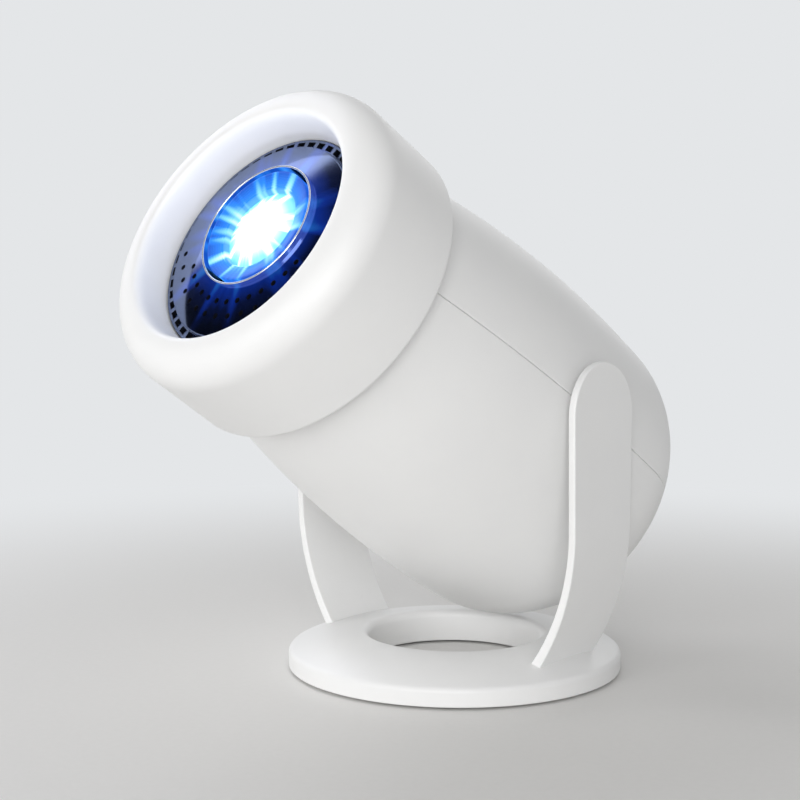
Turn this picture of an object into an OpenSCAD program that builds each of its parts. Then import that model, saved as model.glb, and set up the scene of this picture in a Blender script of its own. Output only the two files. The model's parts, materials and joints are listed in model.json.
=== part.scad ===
// Compact video projector: a barrel shaped head tilting between two arms on a round stand.
// Origin on the table under the middle of the stand, X along the tilt axis, front toward -Y, Z up.
// Pieces of the head are drawn in the head frame: X to the side, Y up, Z forward along the
// light path, with the origin on the tilt axis.

/* [Stand base] */
// Outer radius of the round base
base_r = 55; // [54:0.5:66]
// Radius of the hole through the base
base_hole_r = 28.5; // [24:0.5:30]
// Rounding at the rim of the hole
base_rim_round = 2.5; // [1:0.1:3]
// Height of the base at the rim of its hole
base_h = 11.6; // [11:0.1:13]
// Height at which the outer wall turns into the sloping top
base_edge_h = 7; // [6:0.1:8]
// Rounding of the outer edge of the top
base_edge_round = 2; // [1:0.1:3]
// Wall thickness of the base
base_wall = 2.4; // [2:0.1:2.8]
// Gap between the base wall and the table
base_lift = 0.8; // [0.5:0.1:1]
// Thickness of the plate that closes the base
base_plate_t = 2; // [1.6:0.1:2.2]
// Height of the rubber foot ring
foot_h = 1.2; // [1:0.1:1.6]
// Distance from the outer edge of the base to the rubber foot ring
foot_inset = 5; // [4:0.5:6]
// Width of the rubber foot ring
foot_w = 5; // [3:0.5:5.5]

/* [Arms] */
// Height of the tilt axis above the table
pivot_h = 86; // [84:0.5:95]
// Width of an arm at the tilt axis
arm_w = 32; // [26:0.5:36]
// Width of an arm at the base
arm_foot_w = 29.5; // [26:0.5:32]
// Thickness of an arm at the tilt axis
arm_t = 2.4; // [2:0.1:4]
// Thickness of an arm at the base
arm_foot_t = 4; // [3:0.1:5]
// Distance from the outer edge of the base to the outer face of an arm at the base
arm_foot_inset = 10.4; // [9:0.2:12]
// Height at which an arm starts to lean inward
arm_bend_h = 52; // [48:1:54]
// Gap between the widest part of the body and an arm
arm_gap = 0.8; // [0.6:0.1:2]
// Gap around an arm in its slot in the base
arm_slot_gap = 0.2; // [0.1:0.05:0.4]
// Radius of the tilt shaft on each arm
shaft_r = 7; // [5:0.1:8]
// Length of a shaft inside the body
shaft_len = 11.6; // [10:0.2:13]
// Radial play of a shaft in its bush
shaft_play = 0.06; // [0.03:0.01:0.1]
// Wall thickness of a tilt bush
bush_wall = 2.4; // [1.5:0.1:3]
// Length of a tilt bush
bush_len = 9.2; // [8:0.2:9.6]

/* [Body shell] */
// Largest radius of the body
body_r = 55; // [53:0.5:60]
// Position of the largest radius along the light path
body_wide_z = -25; // [-28:1:-20]
// Radius of the body where the hood covers it
neck_r = 43.2; // [42.5:0.1:45]
// Position of the neck along the light path
neck_z = 75.9; // [74:0.5:80]
// Position of the rear end of the body surface along the light path
tail_z = -74; // [-75:0.5:-67]
// Rounding of the tail
tail_r = 34; // [33:0.5:35]
// Radius of the opening in the tail
rear_r = 34.3; // [34:0.1:36]
// Wall thickness of the shells
wall = 2.4; // [2:0.1:2.8]
// Gap of the seam between the two shells
seam_gap = 0.2; // [0.1:0.05:0.4]
// Pitch of the head at rest, in degrees above level
rest_pitch = 30; // [0:1:60]

/* [Hood and face] */
// Radius of the hood at its rear edge
hood_r = 49.3; // [48.5:0.1:52]
// Radius of the hood where the lip starts
hood_front_r = 48.4; // [47:0.1:51]
// Position of the front of the lip along the light path
hood_front_z = 111.7; // [110:0.5:116]
// Outer rounding of the lip
lip_r = 10; // [8:0.2:11]
// Inner rounding of the lip
lip_in_r = 3.6; // [2.5:0.1:4]
// Wall thickness of the hood
hood_wall = 2.6; // [2.2:0.1:3]
// Position of the rim of the face plate along the light path
face_z = 100.4; // [99.5:0.2:101]
// Height of the dome of the face plate
face_dome = 3; // [2:0.1:3.4]
// Thickness of the face plate
face_t = 1.8; // [1.4:0.1:2.2]
// Width of the flat vent rim of the face plate
vent_w = 3.4; // [3:0.1:4]
// Number of vent slots in the rim of the face plate
vent_n = 48; // [24:4:60]
// Length of a vent slot across its radius
vent_len = 2.9; // [1.5:0.1:3]
// Radius of the inner row of face holes, measured from the lens
hole_in_r = 24.2; // [23:0.1:25]
// Radius of the outer row of face holes, measured from the lens
hole_out_r = 28.6; // [27.5:0.1:28.8]
// Radius of a face hole
hole_r = 0.85; // [0.5:0.05:1.1]

/* [Lens and focus] */
// Height of the lens above the middle of the body
lens_up = 3.5; // [2.5:0.1:4]
// Radius of the lens barrel
barrel_r = 17.15; // [16.5:0.05:17.4]
// Radial play of the barrel in its guide tube
barrel_play = 0.05; // [0.03:0.01:0.1]
// Wall thickness of the guide tube
tube_wall = 2; // [1.6:0.1:2.2]
// Radius of the glass of the lens
glass_r = 13.55; // [12.5:0.05:13.6]
// Radial width of the bright ring around the lens
trim_w = 1.2; // [0.8:0.1:1.3]
// Position of the front of the bright ring along the light path
trim_z = 104.7; // [104.2:0.1:106]
// Number of teeth of the focus pinion
pinion_n = 14; // [14:1:14]
// Number of teeth of a full turn of the focus sleeve
sleeve_n = 50; // [50:1:50]
// Gear module of the focus drive
gear_m = 1; // [1:0.01:1]
// Radius of the knurled focus wheel
wheel_r = 11.8; // [11.2:0.1:12]
// Width of the knurled focus wheel
wheel_w = 9; // [7:0.5:9.5]
// Number of ridges on the focus wheel
wheel_n = 40; // [30:2:44]
// Travel of the lens to each side of its middle position
lens_travel = 2.5; // [1.5:0.1:2.5]
// Turn of the focus sleeve to each side of its middle position, in degrees
sleeve_turn = 20; // [15:1:20]

/* [Light engine] */
// Inner width of the light box
box_w = 62; // [58:0.5:63]
// Inner height of the light box
box_h = 38; // [36:0.5:39]
// Wall thickness of the light box
box_wall = 2; // [1.6:0.1:2.2]
// Position of the rear end of the light box along the light path
box_z0 = -18; // [-19:0.5:-17]
// Position of the front end of the light box along the light path
box_z1 = 47; // [46.5:0.1:47]
// Position of the front field lens along the light path
field_z = 33; // [31:0.5:34]
// Position of the picture panel along the light path
panel_z = 24; // [21:0.5:26]
// Position of the rear field lens along the light path
rear_field_z = 12; // [8:0.5:15]
// Thickness of a field lens
field_t = 1.8; // [1.4:0.1:2.4]
// Thickness of the picture panel
lcd_t = 2.6; // [2:0.1:3]
// Radius of the condenser lens
cond_r = 15; // [14:0.1:15.5]
// Radius of the lamp chip
chip_r = 8; // [6:0.1:9]

/* [Cooling] */
// Width of the heat sink
sink_w = 48; // [46:0.5:50]
// Height of the heat sink base
sink_h = 40; // [39:0.5:42]
// Height of the fins of the heat sink
fin_h = 33; // [28:0.5:33]
// Length of the fins along the light path
fin_len = 22; // [15:0.5:24]
// Number of fins
fin_n = 9; // [5:2:9]
// Side of the square fan
fan_w = 35; // [34:0.5:35]
// Thickness of the fan
fan_t = 10; // [8:0.5:10]
// Height of the fan above the middle of the body
fan_up = 12; // [11.8:0.1:12.5]
// Number of fan blades
blade_n = 7; // [5:1:9]

/* [Boards] */
// Thickness of a circuit board
board_t = 1.6; // [1:0.1:2]
// Width of the main board
main_w = 60; // [58:0.5:62]
// Length of the main board
main_len = 78; // [76:0.5:79]
// Depth of the main board under the middle of the body
main_y = -30; // [-31:0.2:-29]
// Width of the power board
power_w = 54; // [52:0.5:56]
// Length of the power board
power_len = 58; // [56:0.5:60]
// Height of the power board above the middle of the body
power_y = 29.4; // [28:0.2:30]

/* [Rear panel] */
// Thickness of the rear panel
panel_t = 2; // [1.6:0.1:2.2]
// Depth of the rear panel below the edge of the tail
panel_recess = 0.2; // [0:0.1:0.6]
// Depth of the port board under the middle of the body
port_y = -14.5; // [-14.8:0.1:-14.2]
// Radius of the power button
button_r = 3.2; // [2.8:0.1:3.4]
// Travel of the power button
button_travel = 0.8; // [0.4:0.1:0.8]
// Radius of the bore of the sound socket
jack_r = 1.8; // [1.75:0.05:1.9]
// Gap around a socket in the rear panel
port_gap = 0.2; // [0.1:0.05:0.3]

/* [Fasteners] */
// Shank radius of a screw
screw_r = 1.4; // [1.2:0.05:1.5]
// Head radius of a screw
screw_head_r = 2.5; // [2.2:0.1:2.6]
// Head height of a screw
screw_head_h = 1.6; // [1.2:0.1:1.8]
// Radial gap between a screw and its hole
screw_gap = 0.06; // [0.03:0.01:0.1]

/* [Hidden] */
$fn = 72;
eps = 0.02;
far = 200;

// Stand sizes that follow from the ones above
plate_z0 = foot_h;
plate_z1 = foot_h + base_plate_t;
base_crown_r = base_hole_r + base_rim_round;
base_slope_w = base_r - base_edge_round - base_crown_r;
base_slope_h = base_h - base_edge_h;
base_slope_r = (pow(base_slope_w, 2) + pow(base_slope_h, 2)) / (2 * base_slope_h);
base_slope_a = acos(base_slope_w / base_slope_r);
base_top_r = base_slope_r + base_edge_round;
cavity_r0 = base_hole_r + base_wall;
cavity_r1 = base_r - base_wall;
plate_gap = 0.2;
base_boss_r = 3.6;
base_boss_pcd = (cavity_r0 + cavity_r1) / 2;
base_boss_h = 4.6;
sink_depth = 1.1;
head_room = 0.3;
screw_end = 1.5;
screw_short = 2;
screw_socket_r = 1.1;
foot_in_r = base_r - foot_inset - foot_w;
arm_foot_x = base_r - arm_foot_inset;
arm_in_x = body_r + arm_gap;
arm_out_x = arm_in_x + arm_t;
arm_foot_h = 8;
arm_tab_t = 2.6;
arm_tab_w = 24;
arm_tab_x = cavity_r0 + 1.6;
arm_screw_x = arm_tab_x + 4.4;
arm_screw_y = 7;

// Body shell sizes that follow from the ones above
nose_drop = body_r - neck_r;
nose_len = neck_z - body_wide_z;
nose_r = (pow(nose_len, 2) + pow(nose_drop, 2)) / (2 * nose_drop);
tail_c = [body_r - tail_r, tail_z + tail_r];
collar_step = 0.5;
collar_r = neck_r - collar_step;
collar_len = 4.1;
collar_z = neck_z + collar_len;
rear_z = tail_c[1] - sqrt(pow(tail_r, 2) - pow(rear_r - tail_c[0], 2));
panel_out_z = rear_z + panel_recess;
panel_in_z = panel_out_z + panel_t;
panel_r = rear_r - port_gap;
ledge_w = 2.9;
ledge_t = 2;
rear_boss_r = 2.6;
rear_screws = [[28.7, 10.4], [-28.7, 10.4], [27.5, -13], [-27.5, -13]];
rear_boss_len = 6;
pivot_boss_r = shaft_r + shaft_play + bush_wall + 3;
bush_r = shaft_r + shaft_play + bush_wall;
bush_x0 = arm_in_x - shaft_len + 0.3;
washer_t = 1.4;
washer_r = shaft_r + 2.6;
seat_gap = 0.05;
post_r = 3.2;
frame_boss_r = 3.4;
frame_boss_len = 14;
frame_grip = 8;
frame_screw_pcd = collar_r - 4.4;
frame_screw_a = [30, 150, 210, 330];

// Hood and face sizes that follow from the ones above
hood_gap = 0.3;
hood_z0 = neck_z + hood_gap;
hood_in_r = collar_r + hood_gap;
hood_edge_round = 1.5;
lip_c = [hood_front_r - lip_r, hood_front_z - lip_r];
face_r = lip_c[0] - lip_in_r;
face_seat_w = 0.5;
face_seat_t = 2;
bowl_wall = 2.4;
dome_r = face_r - vent_w;
dome_arc_r = (pow(dome_r, 2) + pow(face_dome, 2)) / (2 * face_dome);
face_hole_r = barrel_r + 2.5;
face_gap = 0.15;
vent_in = 0.5;
vent_out = 1.1;
frame_hole_gap = 0.4;
hole_in_a = [-150, -30];
hole_out_a = [-165, -15];
hole_step = 10;
frame_t = 2.6;
frame_z1 = collar_z + frame_t;
tab_t = 3;
tab_w = 9;
tab_len = 11;
tab_a = [45, 135, 225, 315];
tab_pcd = frame_screw_pcd;
speaker_y = -29.6;
speaker_r = 13;
basket_r = 10.2;
magnet_r = 8;
magnet_h = 5;
basket_h = 6;
basket_rim_t = 1.6;
basket_wall = 0.8;
basket_floor_t = 1.2;
cone_t = 0.6;
cone_h = 3.6;
cap_r = 3;
frame_air = [[31, 4, 6.5], [-31, 4, 6.5], [17, 30, 5.6], [-17, 30, 5.6]];

// Lens and focus sizes that follow from the ones above
tube_in_r = barrel_r + barrel_play;
tube_r = tube_in_r + tube_wall;
flange_t = 3;
flange_z1 = box_z1 + flange_t;
tube_z1 = 92;
barrel_z0 = 52;
barrel_head_r = barrel_r + 0.75;
barrel_head_z = 95;
barrel_front_z = 104;
lens_step_z = 62;
rear_glass_t = 6;
front_glass_t = 4;
front_glass_z = 97;
glass_rim = 1.3;
retainer_t = 1.6;
bore_r = glass_r + seat_gap;
pitch_r1 = gear_m * pinion_n / 2;
pitch_r2 = gear_m * sleeve_n / 2;
gear_d = pitch_r1 + pitch_r2;
axle_y = lens_up + gear_d;
axle_r = 1.5;
axle_play = 0.08;
sleeve_play = 0.07;
sleeve_in_r = tube_r + sleeve_play;
sleeve_wall = 1.7;
sleeve_r = sleeve_in_r + sleeve_wall;
end_gap = 0.3;
sleeve_z0 = flange_z1 + end_gap;
gear_z0 = sleeve_z0 + 2.4;
gear_w = 9;
sleeve_z1 = gear_z0 + gear_w;
clip_z0 = sleeve_z1 + end_gap;
clip_t = 1;
clip_depth = 0.5;
clip_w = 1.6;
clip_gap_w = 6;
wheel_z0 = clip_z0 + clip_t + 0.5;
wheel_z1 = wheel_z0 + wheel_w;
bracket_z0 = wheel_z1 + 1.6;
bracket_t = 3;
bracket_wall = 2.6;
ear_w = 9;
ear_h = 4;
pin_r = 1.4;
pin_play = 0.2;
pin_z = (sleeve_z0 + sleeve_z1) / 2;
pin_reach = sleeve_r - 0.2;
pin_root = 0.6;
barrel_rim = 0.6;
ridge_n = 5;
ridge_low = 0.2;
ridge_share = 0.6;
front_bulge = 3;
front_hollow = 0.6;
rear_bulge = 2;
rear_hollow = 1.5;
lead = lens_travel / sleeve_turn;
slot_gap_x = 0.9;
wheel_notch = 0.5;
tooth_slack = 0.06;
sleeve_span = 7;
slot_steps = 10;

// Light engine sizes that follow from the ones above
box_out_w = box_w + 2 * box_wall;
box_out_h = box_h + 2 * box_wall;
lid_t = 1.6;
groove = 0.7;
groove_gap = 0.1;
ear_x = 11;
ear_t = 3;
ear_y = -4;
ear_len = 9;
ear_z = [20, 40];
ear_screw_x = box_out_w / 2 + 6.6;
cond_seat = 1.2;
cond_t = 2;
cond_dome = 5;
chip_t = 1.4;
chip_gap = 2;
led_w = 36;
led_h = 34;
led_z0 = box_z0 - board_t;
sink_t = 4;
sink_z0 = led_z0 - sink_t;
fin_t = 1.4;
fin_pitch = 4;
spacer_r = 2.4;
spacer_x = sink_w / 2 - 3;
spacer_y = sink_h / 2 - 3;
flange_screw_x = box_w / 2 - 2;
flange_screw_y = box_h / 2 - 2;
flange_post_r = 2.6;
flange_post_len = 9;

// Fan sizes that follow from the ones above
fan_post_h = 3;
fan_z0 = panel_in_z + fan_post_h;
fan_z1 = fan_z0 + fan_t;
fan_pitch = fan_w / 2 - 3;
fan_bore_r = fan_w / 2 - 1.3;
fan_post_r = 2.4;
hub_r = 8;
hub_plate_t = 2;
blade_gap = 0.6;
blade_t = 1.2;
spoke_w = 2;
blade_a = 35;
fan_shaft_r = 1;
fan_shaft_play = 0.05;

// Board and port sizes that follow from the ones above
main_z0 = -42;
post_grip = 6;
post_bore = 7;
main_post_x = main_w / 2 - 4;
main_post_z = 6;
main_posts = [for (x = [-main_post_x, main_post_x], z = [main_post_z, main_len - main_post_z])
    [x, main_z0 + z]];
power_z0 = -14;
// Blocks on the boards: middle across and along, width and length as shares of the board, and height
main_chips = [[0, 0.5, 0.3, 0.23, 5], [-0.23, 0.73, 0.2, 0.13, 1.2], [0.23, 0.73, 0.2, 0.13, 1.2],
    [0, 0.17, 0.46, 0.13, 3], [0, 0.87, 0.46, 0.05, 2]];
power_blocks = [[0, 0.43, 0.37, 0.31, 10], [0, 0.11, 0.59, 0.12, 6]];
// Cans on the power board: middle across and along and radius as shares of the board, and height
power_cans = [[0.24, 0.74, 0.09, 10], [-0.24, 0.74, 0.075, 9]];
power_post_x = power_w / 2 - 5;
power_post_z = 5;
power_posts = [for (x = [-power_post_x, power_post_x], z = [power_post_z, power_len - power_post_z])
    [x, power_z0 + z]];
port_board_w = 47.6;
port_z1 = -43;
port_z0 = panel_in_z + 0.6;
port_post_x = port_board_w / 2 - 5.8;
port_posts = [for (x = [-port_post_x, port_post_x]) [x, port_z1 - 4]];
picture_x = -15;
picture_w = 15;
picture_h = 5.6;
picture_len = 11.5;
data_x = 4;
data_w = 14.4;
data_h = 7;
data_len = 13;
port_wall = 0.5;
tongue_t = 1.6;
tongue_in = 1.5;
tongue_gap = 0.4;
back_gap = 0.1;
jack_x = 20;
jack_w = 7;
jack_h = 6.2;
jack_len = 13;
jack_nose_r = 3;
jack_depth = 13.5;
inlet_y = -23;
inlet_w = 18.6;
inlet_h = 9.8;
inlet_len = 13;
inlet_depth = 11;
inlet_lobe_r = 4;
inlet_flat_y = 3.2;
inlet_pitch = 8.6;
pin_len = 9;
inlet_pin_r = 1.18;
button_x = 17;
button_y = -21;
button_out = 1;
button_gap = 0.2;
button_flange = 0.8;
button_flange_t = 1;
button_stem_r = 1.6;
button_stem = 1.8;
switch_w = 8;
switch_t = 3.7;
switch_h = 9.9;
switch_gap = 0.4;
switch_bore = 2.2;
light_x = -button_x;
light_r = 1.4;
light_out = 0.3;
light_flange = 0.9;
light_len = 8;
slot_h = 2;
slot_pitch = 4;
slot_n = 3;

// Points of a round stretch about a centre
function arc(c, r, a0, a1, n) = [for (i = [0:n])
    let(a = a0 + (a1 - a0) * i / n) c + r * [cos(a), sin(a)]];

// The same points in the other order
function back(list) = [for (i = [len(list) - 1:-1:0]) list[i]];

// Underside of the sloping top of the base at a radius
function cavity_top(r) = base_h - base_top_r
    + sqrt(pow(base_top_r - base_wall, 2) - pow(r - base_crown_r, 2));

// Radius of the body surface in front of its widest place, set in by a depth
function body_at(z, depth) = body_r - nose_r + sqrt(pow(nose_r - depth, 2) - pow(z - body_wide_z, 2));

// Half length of a vent slot of the rear panel, counted from the middle slot
function slot_half(i) = sqrt(pow(fan_bore_r - blade_gap, 2) - pow(i * slot_pitch, 2))
    - (abs(i) == slot_n ? slot_h : 0);

// Side curve of the body from the neck to the rear opening, set in by a depth
function body_side(depth) = concat(
    arc([body_r - nose_r, body_wide_z], nose_r - depth, asin(nose_len / (nose_r - depth)), 0, 18),
    arc(tail_c, tail_r - depth, 0, -acos((rear_r - tail_c[0]) / (tail_r - depth)), 16));

// Half thickness angle of an involute tooth at a radius, in degrees
function involute(rb, r) = (sqrt(pow(r / rb, 2) - 1) * 180 / PI) - acos(rb / r);
function tooth_half(rp, r, n, slack) = 90 / n - slack / rp * 180 / PI
    + involute(rp * cos(20), rp) - involute(rp * cos(20), max(r, rp * cos(20)));

// Outline of one tooth pointing along an angle, from its root up and down again
function tooth(rp, n, a, slack) = let(
    root = rp - 1.05 * gear_m,
    tip = rp + 0.72 * gear_m,
    rs = [for (i = [0:4]) max(rp * cos(20), root) + (tip - max(rp * cos(20), root)) * i / 4])
    concat([let(h = a - tooth_half(rp, rs[0], n, slack)) root * [cos(h), sin(h)]],
        [for (r = rs) let(h = a - tooth_half(rp, r, n, slack)) r * [cos(h), sin(h)]],
        [for (i = [4:-1:0]) let(h = a + tooth_half(rp, rs[i], n, slack)) rs[i] * [cos(h), sin(h)]],
        [let(h = a + tooth_half(rp, rs[0], n, slack)) root * [cos(h), sin(h)]]);

// Places a piece of the head on the stand at the rest pitch
module in_head() {
    translate([0, 0, pivot_h])
        rotate([90 - rest_pitch, 0, 0])
            children();
}

// A box from its lowest corner to its highest corner
module block(lo, hi) {
    translate(lo)
        cube(hi - lo);
}

// A rod along Z between two heights
module rod(r, z0, z1) {
    translate([0, 0, z0])
        cylinder(r = r, h = z1 - z0);
}

// A tube along Z between two heights
module tube(r, r_in, z0, z1) {
    difference() {
        rod(r, z0, z1);
        rod(r_in, z0 - 1, z1 + 1);
    }
}

// A rod in the head along Y between two heights at a place
module post(x, z, r, y0, y1) {
    translate([x, y0, z])
        rotate([-90, 0, 0])
            cylinder(r = r, h = y1 - y0);
}

// A screw with its head on top of Z = 0 and its shank below
module screw(len) {
    difference() {
        union() {
            rod(screw_r, -len, eps);
            rod(screw_head_r, 0, screw_head_h);
        }
        translate([0, 0, screw_head_h / 2])
            cylinder(r = screw_socket_r, h = screw_head_h, $fn = 6);
    }
}

// A pair of mirrored copies left and right
module both_sides() {
    children();
    mirror([1, 0, 0])
        children();
}

// Stand

module stand_base() {
    outer = concat([[base_hole_r, base_lift], [base_r, base_lift]],
        arc([base_r - base_edge_round, base_edge_h - base_edge_round], base_edge_round, 0, base_slope_a, 6),
        arc([base_crown_r, base_h - base_top_r], base_top_r, base_slope_a, 90, 12),
        arc([base_crown_r, base_h - base_rim_round], base_rim_round, 90, 180, 6));
    hollow = concat([[cavity_r0, 0], [cavity_r1, 0]],
        [for (i = [0:8]) let(r = cavity_r1 + (base_crown_r - cavity_r1) * i / 8) [r, cavity_top(r)]],
        [[cavity_r0, cavity_top(base_crown_r)]]);
    color("white")
        difference() {
            union() {
                difference() {
                    rotate_extrude($fn = 120)
                        polygon(outer);
                    rotate_extrude($fn = 120)
                        polygon(hollow);
                }
                base_places()
                    rod(base_boss_r, plate_z1, plate_z1 + base_boss_h);
            }
            base_places()
                rod(screw_r + screw_gap, plate_z1 - 1, plate_z1 + base_boss_h - 1);
            both_sides()
                arm_blade(arm_slot_gap);
        }
}

// The four places of the screws that hold the base plate
module base_places() {
    for (a = [45:90:315])
        rotate([0, 0, a])
            translate([base_boss_pcd, 0, 0])
                children();
}

// The four places of the screws that hold the arms
module arm_places() {
    both_sides()
        for (y = [-arm_screw_y, arm_screw_y])
            translate([arm_screw_x, y, 0])
                children();
}

module base_plate() {
    color("gainsboro")
        difference() {
            tube(cavity_r1 - plate_gap, cavity_r0 + plate_gap, plate_z0, plate_z1);
            base_places() {
                rod(screw_r + screw_gap, 0, far);
                rod(screw_head_r + head_room, 0, plate_z0 + sink_depth);
            }
            arm_places() {
                rod(screw_r + screw_gap, 0, far);
                rod(screw_head_r + head_room, 0, plate_z0 + sink_depth);
            }
        }
}

module foot_ring() {
    color("dimgray")
        tube(foot_in_r + foot_w, foot_in_r, 0, foot_h);
}

// Side view of an arm, grown by a gap
function arm_side(gap) = let(
    x1 = arm_out_x + gap,
    x0 = arm_in_x - gap,
    f1 = arm_foot_x + gap,
    f0 = arm_foot_x - arm_foot_t - gap,
    dz = arm_bend_h - arm_foot_h,
    r1 = (pow(dz, 2) + pow(x1 - f1, 2)) / (2 * (x1 - f1)),
    r0 = (pow(dz, 2) + pow(x0 - f0, 2)) / (2 * (x0 - f0)))
    concat([[x1, pivot_h + arm_w]], arc([x1 - r1, arm_bend_h], r1, 0, -asin(dz / r1), 12),
        [[f1, plate_z1], [f0, plate_z1]],
        arc([x0 - r0, arm_bend_h], r0, -asin(dz / r0), 0, 12), [[x0, pivot_h + arm_w]]);

// Front to back outline of an arm, grown by a gap
function arm_face(gap) = concat(arc([0, pivot_h], arm_w / 2 + gap, 0, 180, 36),
    [[-arm_foot_w / 2 - gap, plate_z1], [arm_foot_w / 2 + gap, plate_z1]]);

// The bent blade of the right arm
module arm_blade(gap) {
    intersection() {
        translate([0, arm_w, 0])
            rotate([90, 0, 0])
                linear_extrude(2 * arm_w)
                    polygon(arm_side(gap));
        rotate([90, 0, 90])
            linear_extrude(2 * base_r)
                polygon(arm_face(gap));
    }
}

module right_arm() {
    color("white")
        difference() {
            union() {
                arm_blade(0);
                block([arm_tab_x, -arm_tab_w / 2, plate_z1],
                    [arm_foot_x - arm_foot_t / 2, arm_tab_w / 2, plate_z1 + arm_tab_t]);
                translate([0, 0, pivot_h])
                    rotate([0, 90, 0])
                        rod(shaft_r, arm_in_x - shaft_len, arm_in_x + arm_t / 2);
            }
            arm_places()
                rod(screw_r + screw_gap, 0, far / 10);
            translate([0, 0, pivot_h])
                rotate([0, 90, 0])
                    rod(screw_r + screw_gap, 0, arm_in_x - 1);
        }
}

module left_arm() {
    mirror([1, 0, 0])
        right_arm();
}

module base_screws() {
    color("silver")
        base_places()
            translate([0, 0, plate_z0 + sink_depth])
                mirror([0, 0, 1])
                    screw(base_plate_t - sink_depth + base_boss_h - screw_end);
}

module arm_screws() {
    color("silver")
        arm_places()
            translate([0, 0, plate_z0 + sink_depth])
                mirror([0, 0, 1])
                    screw(base_plate_t - sink_depth + arm_tab_t - plate_gap);
}

module pivot_washers() {
    color("silver")
        translate([0, 0, pivot_h])
            both_sides()
                rotate([0, 90, 0])
                    tube(washer_r, screw_r + screw_gap,
                        arm_in_x - shaft_len - washer_t, arm_in_x - shaft_len);
}

module pivot_screws() {
    color("silver")
        translate([0, 0, pivot_h])
            both_sides()
                translate([arm_in_x - shaft_len - washer_t, 0, 0])
                    rotate([0, -90, 0])
                        screw(shaft_len - screw_short);
}

// Body shells

// The whole body as a solid, set in by a depth
module body_solid(depth) {
    rotate_extrude($fn = 120)
        polygon(concat([[0, collar_z], [collar_r - depth, collar_z], [collar_r - depth, neck_z]],
            body_side(depth), [[0, rear_z]]));
}

// The half space above or below the seam
module half_space(side) {
    translate([-far, side > 0 ? seam_gap / 2 : -far - seam_gap / 2, -far])
        cube([2 * far, far, 2 * far]);
}

// Half of the wall of the body with the seat of the rear panel
module shell_wall(side) {
    translate([0, side * seam_gap / 2, 0])
        rotate([0, 0, side > 0 ? 0 : 180])
            rotate_extrude(angle = 180, $fn = 120)
                union() {
                    polygon(concat([[collar_r, collar_z], [collar_r, neck_z]], body_side(0),
                        back(body_side(wall)), [[collar_r - wall, neck_z], [collar_r - wall, collar_z]]));
                    translate([rear_r - ledge_w, panel_in_z])
                        square([ledge_w + wall / 2, ledge_t]);
                }
}

// Bosses that both shells have: tilt bosses, front bosses and rear bosses
module shell_bosses(side) {
    both_sides()
        rotate([0, 90, 0])
            rod(pivot_boss_r, bush_x0, body_r);
    for (a = frame_screw_a)
        rotate([0, 0, a])
            translate([frame_screw_pcd, 0, 0])
                rod(frame_boss_r, collar_z - frame_boss_len, collar_z);
    for (p = rear_screws)
        translate([p[0], p[1], 0])
            rod(rear_boss_r, panel_in_z, panel_in_z + rear_boss_len);
}

// Holes that both shells have
module shell_holes() {
    rotate([0, 90, 0])
        rod(bush_r + seat_gap, -far, far);
    for (a = frame_screw_a)
        rotate([0, 0, a])
            translate([frame_screw_pcd, 0, 0])
                rod(screw_r + screw_gap, collar_z - frame_boss_len + 2, collar_z + 1);
    for (p = rear_screws)
        translate([p[0], p[1], 0])
            rod(screw_r + screw_gap, panel_in_z - 1, panel_in_z + rear_boss_len - 1);
}

// Sockets in the posts for the boards and the light box, along Y
module post_holes(list, y0, y1) {
    for (p = list)
        post(p[0], p[1], screw_r + screw_gap, y0, y1);
}

module upper_shell() {
    color("white")
        in_head()
            difference() {
                union() {
                    shell_wall(1);
                    intersection() {
                        union() {
                            shell_bosses(1);
                            for (p = power_posts)
                                post(p[0], p[1], post_r, power_y + board_t, body_r);
                        }
                        body_solid(wall / 2);
                        half_space(1);
                    }
                }
                shell_holes();
                translate([0, fan_up, 0])
                    fan_places()
                        rod(fan_post_r + port_gap, panel_in_z - 1, panel_in_z + ledge_t + 1);
                post_holes(power_posts, power_y, power_y + board_t + post_bore);
                block([-wheel_r + slot_gap_x, axle_y, wheel_z0 - slot_gap_x],
                    [wheel_r - slot_gap_x, body_r, wheel_z1 + slot_gap_x]);
            }
}

module lower_shell() {
    color("white")
        in_head()
            difference() {
                union() {
                    shell_wall(-1);
                    intersection() {
                        union() {
                            shell_bosses(-1);
                            for (p = main_posts)
                                post(p[0], p[1], post_r, -body_r, main_y);
                            for (p = port_posts)
                                post(p[0], p[1], post_r, -body_r, port_y - board_t);
                            both_sides()
                                for (z = ear_z)
                                    post(ear_screw_x, z, post_r, -body_r, ear_y);
                        }
                        body_solid(wall / 2);
                        half_space(-1);
                    }
                }
                shell_holes();
                post_holes(main_posts, main_y - post_bore, main_y + 1);
                post_holes(port_posts, port_y - board_t - post_bore, port_y);
                both_sides()
                    post_holes([[ear_screw_x, ear_z[0]], [ear_screw_x, ear_z[1]]], ear_y - 7, 0);
            }
}

module pivot_bushes() {
    color("dimgray")
        in_head()
            both_sides()
                rotate([0, 90, 0])
                    tube(bush_r, shaft_r + shaft_play, bush_x0, bush_x0 + bush_len);
}

// Hood and face

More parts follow.
